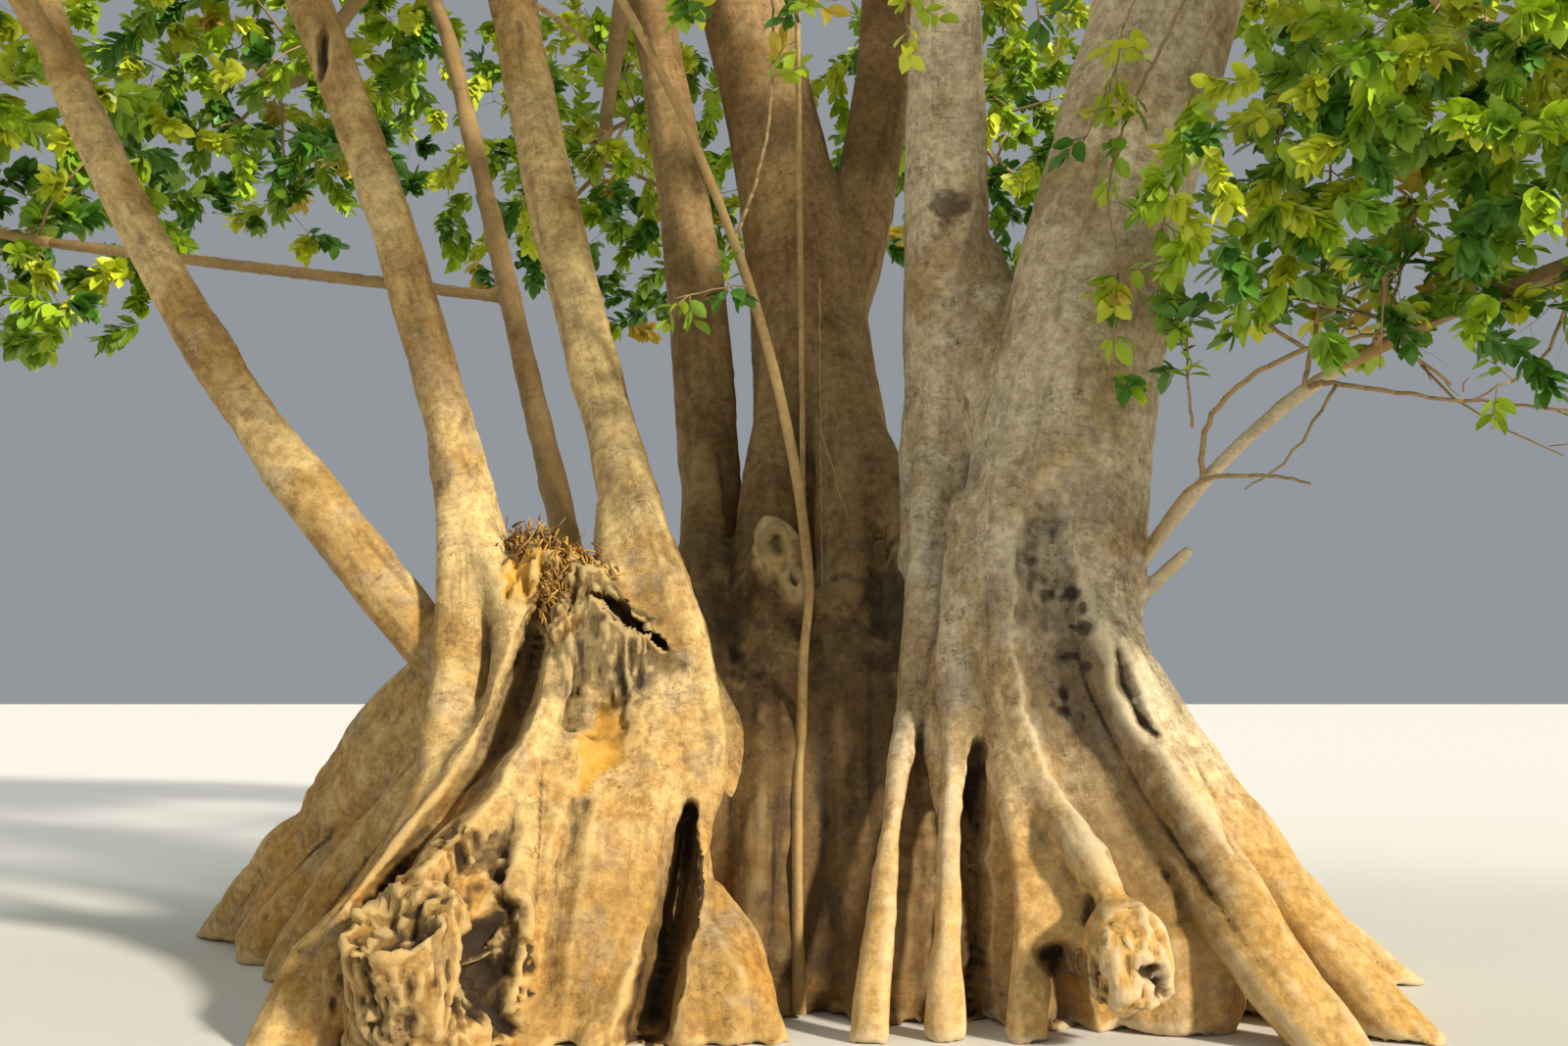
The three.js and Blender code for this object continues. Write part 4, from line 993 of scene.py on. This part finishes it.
# A point is free for a mass if it is inside its skin, deeper in it than in any other, and off every limb
def isFree(index, points, width):
    depths = np.linalg.norm((points[:, None] - centres) / reaches, axis=2)
    own = depths[:, index].copy()
    depths[:, index] = 9
    off = (np.linalg.norm(points[:, None] - limbPoints, axis=2) - limbWidths).min(axis=1)
    keep = rule["keepApart"]
    return (own <= 1 - keep / 2) & (depths.min(axis=1) >= own + keep) & (off > width + rule["clearance"])


# Directions spread evenly over a ball
def evenDirections(count, turn):
    i = np.arange(count)
    z = 1 - (2 * (i + .5)) / count
    flat = np.sqrt(1 - z * z)
    angle = math.pi * (3 - math.sqrt(5)) * i + turn
    return np.stack([np.cos(angle) * flat, np.sin(angle) * flat, z], axis=1)


# The twigs of a mass, one row for each
class Twigs:
    def __init__(self):
        self.rows = []

    def add(self, start, end, girth, tipGirth, bare, level):
        self.rows.append((*start, *end, girth, tipGirth, bare, level))

    # Where a twig to the tip leaves the wood, some way before the point nearest to the tip
    def footFor(self, tip):
        lines = np.array(self.rows)
        start, along = lines[:, :3], lines[:, 3:6] - lines[:, :3]
        length = np.linalg.norm(along, axis=1)
        nearest = ((tip - start) * along).sum(axis=1) / length ** 2
        off = np.linalg.norm(start + along * nearest[:, None] - tip, axis=1)
        share = np.clip(nearest - rule["twigLean"] * off / length, lines[:, bareAt], .9)
        feet = start + along * share[:, None]
        best = np.linalg.norm(feet - tip, axis=1).argmin()
        girth, tipGirth = lines[best, girthAt], lines[best, tipGirthAt]
        return feet[best], girth + (tipGirth - girth) * share[best]


def leafyStem(mass):
    bough, centre, reach = mass["limb"], np.array(mass["centre"]), np.array(mass["reach"])
    root = bough.point(1)
    end = centre + unit(centre - root) * reach * rule["beyond"]
    middle = root + bough.heading(1) * rule["stemBend"] * np.linalg.norm(end - root)
    wide = bough.radius(1)
    girth = (wide * rule["stemShare"], min(rule["stemTip"], wide))
    stem = Limb("leafyStem", root - bough.heading(1) * .05, end, girth=girth)
    stem.middle = middle
    stem.finish(end - root)
    return stem


def pointsBetween(foot, tip, shares):
    return foot + (tip - foot) * np.array(shares)[:, None]


def growMass(index, mass):
    draw = drawsFrom(rule["seed"] + 97 * index)
    stem = leafyStem(mass)
    mass["stem"] = stem
    centre, reach = centres[index], reaches[index]
    twigs = Twigs()
    for t in (0, .5):
        twigs.add(stem.point(t), stem.point(t + .5), stem.radius(t), stem.radius(t + .5),
                  rule["stemBare"], 0)
    for direction in evenDirections(rule["twigs"], draw() * 2 * math.pi):
        arm = direction * reach
        size = np.linalg.norm(arm)
        length = rule["skin"] * size - (1 - rule["sprayOverTwig"]) * rule["sprayLength"]
        length = max(rule["shortest"] * size, length)
        tip = centre + unit(arm) * length
        foot, wide = twigs.footFor(tip)
        for _ in range(4):  # the source draws four more for each twig
            draw()
        girth = min(rule["twigGirth"], rule["underCarrier"] * wide)
        if isFree(index, pointsBetween(foot, tip, rule["testedAt"]), girth).all():
            twigs.add(foot, tip, girth, girth * growth["thinning"], rule["twigBare"], 1)
    chance = np.random.default_rng(rule["seed"] + index)
    for level, finer in enumerate(growth["finer"], 2):
        more = growth["inViewCount"] if mass["name"] in growth["inView"] and level == 3 else 1
        count = round(finer["count"] * more)
        further = chance.random(count) ** growth["outwards"]
        share = finer["low"] + (growth["furthest"] - finer["low"]) * further
        tips = centre + evenDirections(count, chance.random() * 6.28) * reach * share[:, None]
        tips += chance.normal(0, growth["stray"], tips.shape)
        for tip in tips[isFree(index, tips, growth["tipRoom"])]:
            foot, wide = twigs.footFor(tip)
            if isFree(index, pointsBetween(foot, tip, growth["testedAt"]), growth["twigRoom"]).all():
                girth = min(finer["girth"], rule["underCarrier"] * wide)
                twigs.add(foot, tip, girth, girth * growth["finerThinning"], finer["bare"], level)
    return np.array(twigs.rows)


# Leaves and twigs are too many for single operators, so their meshes are made from arrays of triangles
def meshFrom(name, verts, faces, slots=None):
    mesh = bpy.data.meshes.new(name)
    mesh.vertices.add(len(verts))
    mesh.vertices.foreach_set("co", verts.ravel())
    mesh.loops.add(faces.size)
    mesh.loops.foreach_set("vertex_index", faces.ravel().astype(np.int32))
    mesh.polygons.add(len(faces))
    mesh.polygons.foreach_set("loop_start", np.arange(0, faces.size, 3, dtype=np.int32))
    if slots is not None:
        mesh.polygons.foreach_set("material_index", slots.astype(np.int32))
    mesh.update(calc_edges=True)
    shadeSmooth(mesh)
    return mesh


def joined(parts):
    counts = np.cumsum([0, *[len(verts) for verts, _ in parts]])
    faces = [faces + count for (_, faces), count in zip(parts, counts)]
    return np.concatenate([verts for verts, _ in parts]), np.concatenate(faces)


# Bends a twig to one side and a little up between its ends, so that none is ruler-straight
def alongTwig(rows, t):
    start, end = rows[:, :3], rows[:, 3:6]
    length = np.linalg.norm(end - start, axis=1)[:, None]
    turn = np.stack([np.sin(rows[:, 0] * 91), np.cos(rows[:, 1] * 77), np.sin(rows[:, 2] * 83)], axis=1)
    sway = (turn + .6 * upward) * growth["bend"] * length
    return start + (end - start) * t + sway * math.sin(math.pi * t) * (1 - .3 * t)


# All twigs of one kind at once, as closed tubes
def twigTubes(rows, sides, steps):
    rings = []
    for k in range(steps + 1):
        t = k / steps
        heading = unit(alongTwig(rows, min(1, t + .05)) - alongTwig(rows, max(0, t - .05)))
        across = unit(np.cross(heading, (.31, .17, .93)))
        other = np.cross(heading, across)
        wide = (rows[:, girthAt] + (rows[:, tipGirthAt] - rows[:, girthAt]) * t)[:, None]
        for side in range(sides):
            angle = 2 * math.pi * side / sides
            rings.append(alongTwig(rows, t) + (across * math.cos(angle) + other * math.sin(angle)) * wide)
    verts = np.stack(rings, axis=1)
    faces = []
    for k in range(steps):
        for side in range(sides):
            a, b = k * sides + side, k * sides + (side + 1) % sides
            faces += [(a, b, b + sides), (a, b + sides, a + sides)]
    last = steps * sides
    faces += [(0, side + 1, side) for side in range(1, sides - 1)]
    faces += [(last, last + side, last + side + 1) for side in range(1, sides - 1)]
    offset = np.arange(len(rows))[:, None, None] * (steps + 1) * sides
    return verts.reshape(-1, 3), (np.array(faces)[None] + offset).reshape(-1, 3)


# A leaf of length 1: along, across and up, folded a little at its middle
leafShape = dict(base=(0, 0, 0), tip=(1, 0, -.12),
                 sides=((.16, .19, .03), (.46, .3, .045), (.78, .2, -.01)))
leafPoints = np.array([leafShape["base"], leafShape["tip"], *leafShape["sides"],
                       *[(x, -y, z) for x, y, z in leafShape["sides"]]])
leafFaces = np.array([(0, 3, 2), (0, 4, 3), (0, 1, 4), (0, 5, 6), (0, 6, 7), (0, 7, 1)])


def leafMesh(base, direction, facing, size):
    width = unit(np.cross(facing, direction))
    normal = np.cross(direction, width)
    x, y, z = (leafPoints[None, :, k, None] for k in range(3))
    place = x * direction[:, None] + y * width[:, None]
    place = base[:, None] + (place + z * normal[:, None]) * size[:, None, None]
    faces = leafFaces[None] + np.arange(len(base))[:, None, None] * len(leafPoints)
    return place.reshape(-1, 3), faces.reshape(-1, 3)


# Leaves stand around their twig, turn their faces up and hang a little
def leavesOn(rows, perTwig, length, chance):
    n = len(rows)
    bases, aims, sizes = [], [], []
    for k in range(perTwig):
        t = growth["leafFrom"] + (1 - growth["leafFrom"]) * (k + .8 * chance.random(n)) / perTwig
        at = np.concatenate([alongTwig(rows[i:i + 1], t[i]) for i in range(n)])
        heading = unit(rows[:, 3:6] - rows[:, :3])
        across = unit(np.cross(heading, upward + .01))
        turn = growth["leafTurn"] * k + chance.normal(0, .4, n)
        aside = across * np.cos(turn)[:, None] + np.cross(heading, across) * np.sin(turn)[:, None]
        spread = chance.uniform(*growth["leafSpread"], n)[:, None]
        hang = upward * growth["droop"] * chance.random((n, 1))
        bases.append(at)
        aims.append(unit(heading * (1 - .3 * spread) + aside * spread - hang))
        sizes.append(length * chance.uniform(*growth["leafSizes"], n))
    aims = np.concatenate(aims)
    facing = unit(upward * growth["faceUp"] + chance.normal(0, growth["faceStray"], aims.shape))
    return leafMesh(np.concatenate(bases), aims, facing, np.concatenate(sizes))


# Which masses share a piece
crownParts = dict(leftLeaves=("left", "front_left", "left_low"),
                  leftTopLeaves=("left_upper", "front_left_upper", "top_left"),
                  backLeftLeaves=("back_left", "back_left_upper", "back_left_low"),
                  topLeaves=("top", "back_upper", "front_upper"),
                  backRightLeaves=("back", "back_right_upper", "back_right"),
                  rightLeaves=("right_upper", "right", "right_low"),
                  frontLeaves=("front", "front_right", "front_right_low"))


# Each spray gets one leaf colour: lighter outside and at the top as painted light, darker inside and low
# down as painted shade, with some left to chance
def leafSlots(mass, rows, chance):
    middle = (rows[:, :3] + rows[:, 3:6]) / 2
    off = (middle - mass["centre"]) / mass["reach"]
    light = .6 * off[:, 2] + .5 * np.linalg.norm(off, axis=1) + chance.normal(0, .45, len(rows))
    order = np.argsort(np.argsort(-light)) / len(rows)
    return np.searchsorted(np.cumsum(leafShares)[:-1], order)


twigRows = []
for index, mass in enumerate(masses):
    mass["rows"] = growMass(index, mass)
    twigRows.append(mass["rows"])
print("twigs grown:", sum(len(rows) for rows in twigRows))
for name, members in crownParts.items():
    parts, slots = [], []
    for mass in [mass for mass in masses if mass["name"] in members]:
        chance = np.random.default_rng(len(parts) + 31 * len(name))
        rows = mass["rows"][mass["rows"][:, levelAt] == 3]
        tipHeight = rows[:, 5] + chance.normal(0, .3, len(rows))
        rows = rows[tipHeight > growth["bareBelow"].get(mass["name"], 0)]
        length = growth["inViewLength" if mass["name"] in growth["inView"] else "leafLength"]
        parts.append(leavesOn(rows, growth["leaves"], length, chance))
        slots.append(np.tile(np.repeat(leafSlots(mass, rows, chance), len(leafFaces)), growth["leaves"]))
    mesh = meshFrom(name, *joined(parts), np.concatenate(slots))
    addPiece(name, mesh, leafMaterials, [member + "_leaves" for member in members])
    print(name, len(mesh.polygons), "triangles")

allRows = np.concatenate(twigRows)
allLeaves = [mass["name"] + "_leaves" for mass in masses]
tubes = [twigTubes(allRows[allRows[:, levelAt] == level], sides, steps)
         for level, sides, steps in ((1, 5, 4), (2, 3, 3), (3, 3, 2))]
twigMesh = meshFrom("twigs", *joined(tubes))
addPiece("twigs", twigMesh, [twigBark], allLeaves)
print("twigs", len(twigMesh.polygons), "triangles")

bm = bmesh.new()
for mass in masses:
    addTube(bm, mass["stem"], 10, lobes=.04)
stemMesh = meshOf(bm, "leafyStems")
carve(stemMesh, [mass["stem"] for mass in masses], neighbourMeans(stemMesh), .2)
shadeSmooth(stemMesh)
addPiece("leafyStems", stemMesh, [boughBark], allLeaves)

# Fibres of rotten wood between the left-hand stems: two thirds by seeded draws round a line, the rest round
# another, each fibre a straight thread that leans down and every sixth one up
fibres = dict(
    lines=(Strand((-1.68, -1.03, 2.28, .1), (-1.56, -1.12, 2.22, .12), (-1.46, -1.2, 2.08, .12),
                  (-1.42, -1.26, 1.92, .1)),
           Strand((-1.5, -1.12, 2.22, .1), (-1.36, -1.14, 2.16, .1), (-1.24, -1.18, 2.08, .1))),
    scatter=(.045, .035, .06), lean=(.45, -.3, -.75), leanStray=.3, upEvery=6, length=(.03, .11),
    girth=(.004, .013), thinning=.4, looks=dict(strawFibre=("bd913f", 620), brownFibre=("7d5a2e", 420)))


def rottenFibres(count, chance):
    most = count * 2 // 3
    start = [line.point(chance.random(n)) for line, n in zip(fibres["lines"], (most, count - most))]
    start = np.concatenate(start) + chance.normal(0, fibres["scatter"], (count, 3))
    lean = chance.normal(0, fibres["leanStray"], (count, 3)) + fibres["lean"]
    lean[::fibres["upEvery"]] *= (1, 1, -.8)
    end = start + unit(lean) * chance.uniform(*fibres["length"], (count, 1))
    girth = chance.uniform(*fibres["girth"], (count, 1))
    return np.hstack([start, end, girth, girth * fibres["thinning"], np.zeros((count, 2))])


for name, (code, count) in fibres["looks"].items():
    verts, faces = twigTubes(rottenFibres(count, np.random.default_rng(count)), 3, 2)
    addPiece(name + "s", meshFrom(name + "s", verts, faces), [makePlain(name, code, .85)],
             ["trunk"])


# Thin shoots: where each starts, or the limb that it is on and how far along, the points that it runs
# through, its girth, and how many leaves it has and from where on
shoots = [
    dict(on="front_right_low", at=.22, girth=.012, leaves=90, bare=.3,
         through=((1.75, -1.65, 5), (1.53, -1.65, 4.62), (1.38, -1.66, 4.32), (1.25, -1.72, 3.89),
                  (1.3, -1.7, 3.5), (1.25, -1.66, 3))),
    dict(on="front_right_low", at=.26, girth=.01, leaves=44, bare=.4,
         through=((1.85, -1.7, 4.9), (1.62, -1.7, 4.2), (1.5, -1.68, 3.6), (1.55, -1.66, 3.2))),
    dict(on="front_right_low", at=.2, girth=.009, leaves=20, bare=.5,
         through=((1.5, -1.6, 5), (1.3, -1.68, 4.5), (1.12, -1.7, 4.1))),
    dict(on="right_low", at=.2, girth=.016,
         through=((1.67, -1.5, 2.51), (1.95, -1.7, 2.53), (2.14, -1.8, 2.48))),
    dict(on="right_low", at=.45, girth=.016, leaves=60, bare=.5,
         through=((1.75, -1.6, 2.85), (2.05, -1.9, 3.07), (2.53, -2, 3.16), (2.97, -2.1, 3.28),
                  (3.36, -2.2, 3.41))),
    dict(on="right_low", at=.85, girth=.016, leaves=6, bare=.8,
         through=((2.27, -1.8, 2.95), (2.67, -2, 2.84), (3.2, -2.1, 2.77))),
    dict(start=(2.1, -1.92, 3.09), girth=.012, leaves=90, bare=.3,
         through=((1.95, -1.82, 3.25), (1.85, -1.85, 3.4), (1.78, -1.85, 3.75))),
    dict(start=(2.2, -1.6, 2.98), girth=.014, leaves=90, bare=.3,
         through=((2.24, -1.7, 3.3), (2.27, -1.8, 3.7), (2.3, -1.8, 4.1))),
    dict(start=(2.41, -1.95, 3.12), girth=.012, leaves=80, bare=.3,
         through=((2.53, -1.95, 3.39), (2.6, -2, 3.75))),
    dict(start=(2.83, -2.07, 3.23), girth=.011, leaves=80, bare=.3,
         through=((2.8, -2.1, 3.5), (2.9, -2.1, 3.8))),
    dict(start=(3.1, -2.12, 3.3), girth=.011, leaves=50, bare=.4,
         through=((2.88, -2, 3.4), (2.7, -2, 3.61))),
    dict(start=(2.27, -1.82, 2.94), girth=.01, through=((2.07, -1.8, 2.62), (1.85, -1.75, 2.46))),
    dict(start=(3.22, -2.17, 3.37), girth=.011, leaves=8, bare=.6,
         through=((3.1, -2.1, 3), (2.76, -2.1, 2.81))),
    dict(start=(1.68, -1.5, 2.8), girth=.009, leaves=50, bare=.4,
         through=((1.64, -1.6, 3.05), (1.66, -1.65, 3.4))),
    dict(on="front_right_low", at=.3, girth=.012, leaves=90, bare=.4,
         through=((2.2, -2, 5), (2.05, -1.95, 4.3), (1.95, -1.9, 3.8))),
    dict(start=(-.09, -.36, 2.98), girth=.006, through=((-.03, -.45, 2.75), (.05, -.5, 2.47))),
    dict(start=(-.09, -.2, 3.9), girth=.006,
         through=((-.09, -.3, 3.21), (-.09, -.4, 2.64), (-.09, -.5, 2.1))),
    dict(start=(-1.74, -.4, 5.47), girth=.02, through=((-1.51, -.6, 5.23), (-1.29, -.8, 4.98))),
    dict(on="slanting_aerial_root", at=.627, girth=.012, leaves=14, bare=.3,
         through=((-.43, -1.35, 4.12), (-.36, -1.4, 4.56), (-.36, -1.4, 5.23), (-.4, -1.6, 6.2))),
    dict(on="slanting_aerial_root", at=.578, girth=.007, leaves=26, bare=.35,
         through=((-.6, -1.25, 3.56), (-.84, -1.35, 3.48))),
    dict(on="front", at=.3, girth=.01, leaves=44, bare=.55, through=((-.6, -1.6, 5.6), (-.85, -1.5, 4.9))),
    dict(on="front", at=.28, girth=.009, leaves=34, bare=.6,
         through=((-.3, -1.5, 5.6), (-.22, -1.5, 4.85))),
    dict(on="front", at=.15, girth=.009, leaves=34, bare=.6, through=((.35, -1.5, 5.7), (.31, -1.5, 4.85))),
    dict(on="front", at=.1, girth=.009, leaves=30, bare=.6, through=((.85, -1.5, 5.7), (.98, -1.5, 4.85))),
]
# What all shoots share: their steps and taper, and the little side twigs with their leaves
shootHabit = dict(step=.12, thinning=.4, sideLength=(.1, .24), sideGirth=.004, sideTipGirth=.002, onward=.6,
                  droop=.25, leafLength=.12, perTwig=6)
shootLimbs = {**boughLimbs, **aerialLimbs}


def growShoot(shoot, chance):
    start = shoot.get("start") or shootLimbs[shoot["on"]].point(shoot["at"])
    points = [start, *shoot["through"]]
    wide = np.linspace(shoot["girth"], shoot["girth"] * shootHabit["thinning"], len(points))
    path = Strand(*[(*point, girth) for point, girth in zip(points, wide)])
    steps = max(4, round(path.length / shootHabit["step"]))
    t = np.linspace(0, 1, steps + 1)
    place = path.point(t)
    main = [(*place[k], *place[k + 1], path.radius(t[k]), path.radius(t[k + 1]), 0, 4)
            for k in range(steps)]
    sides = []
    for _ in range(math.ceil(shoot.get("leaves", 0) / shootHabit["perTwig"])):
        at = chance.uniform(shoot["bare"], 1)
        away = path.heading(at) * shootHabit["onward"] + chance.normal(0, 1, 3)
        away -= shootHabit["droop"] * upward
        start = path.point(at)
        end = start + unit(away) * chance.uniform(*shootHabit["sideLength"])
        sides.append((*start, *end, shootHabit["sideGirth"], shootHabit["sideTipGirth"], 0, 4))
    return main, sides


chance = np.random.default_rng(77)
shootRows, leafyRows = [], []
for shoot in shoots:
    main, sides = growShoot(shoot, chance)
    shootRows += main + sides
    leafyRows += sides
verts, faces = twigTubes(np.array(shootRows), 5, 2)
shootNodes = ["front_right_low_leaves", "right_low_leaves", "front_leaves"]
addPiece("shoots", meshFrom("shoots", verts, faces), [twigBark], shootNodes)
verts, faces = leavesOn(np.array(leafyRows), shootHabit["perTwig"], shootHabit["leafLength"], chance)
shades = chance.choice(len(leafShares), len(leafyRows), p=leafShares)
slots = np.tile(np.repeat(shades, len(leafFaces)), shootHabit["perTwig"])
addPiece("shootLeaves", meshFrom("shootLeaves", verts, faces, slots), leafMaterials, shootNodes)
print("shoots:", len(shootRows), "twigs,", len(leafyRows), "leafy")

# Camera, light and floor

view = dict(place=(-.3, -8.8, 1.5), tiltUp=6.5, lens=35)
camera = bpy.data.objects.new("camera", bpy.data.cameras.new("camera"))
camera.location = view["place"]
camera.rotation_euler = (math.radians(90 + view["tiltUp"]), 0, 0)
camera.data.lens = view["lens"]
camera.data.sensor_width = 36
bpy.context.collection.objects.link(camera)
scene.camera = camera

floorMaterial = makePlain("paleFloor", "d9d6cf", .9)
bm = bmesh.new()
bmesh.ops.create_grid(bm, x_segments=1, y_segments=1, size=300)
floorMesh = meshOf(bm, "floor")
floorMesh.materials.append(floorMaterial)
floor = bpy.data.objects.new("floor", floorMesh)
floor.location.z = -.002
bpy.context.collection.objects.link(floor)

# Soft lamps: where each shines from, how wide it looks in degrees, and its strength
lamps = [
    dict(name="keyLight", place=(8.6, -7.6, 5.6), wide=5, power=5.2, colour=(1, .92, .78)),
    dict(name="fillLight", place=(-9, -8, 6), wide=60, power=.35, colour=(.86, .93, 1)),
    dict(name="topLight", place=(-3, 4, 12), wide=40, power=1.3, colour=(1, .98, .92)),
]
for lamp in lamps:
    light = bpy.data.lights.new(lamp["name"], "SUN")
    light.angle, light.energy, light.color = math.radians(lamp["wide"]), lamp["power"], lamp["colour"]
    holder = bpy.data.objects.new(lamp["name"], light)
    holder.location = lamp["place"]
    holder.rotation_euler = (-Vector(lamp["place"])).to_track_quat("-Z", "Y").to_euler()
    bpy.context.collection.objects.link(holder)

world = bpy.data.worlds.new("studio")
world.use_nodes = True
world.node_tree.nodes["Background"].inputs["Color"].default_value = (.86, .92, 1, 1)
world.node_tree.nodes["Background"].inputs["Strength"].default_value = .34
scene.world = world
scene.view_settings.view_transform = "Standard"
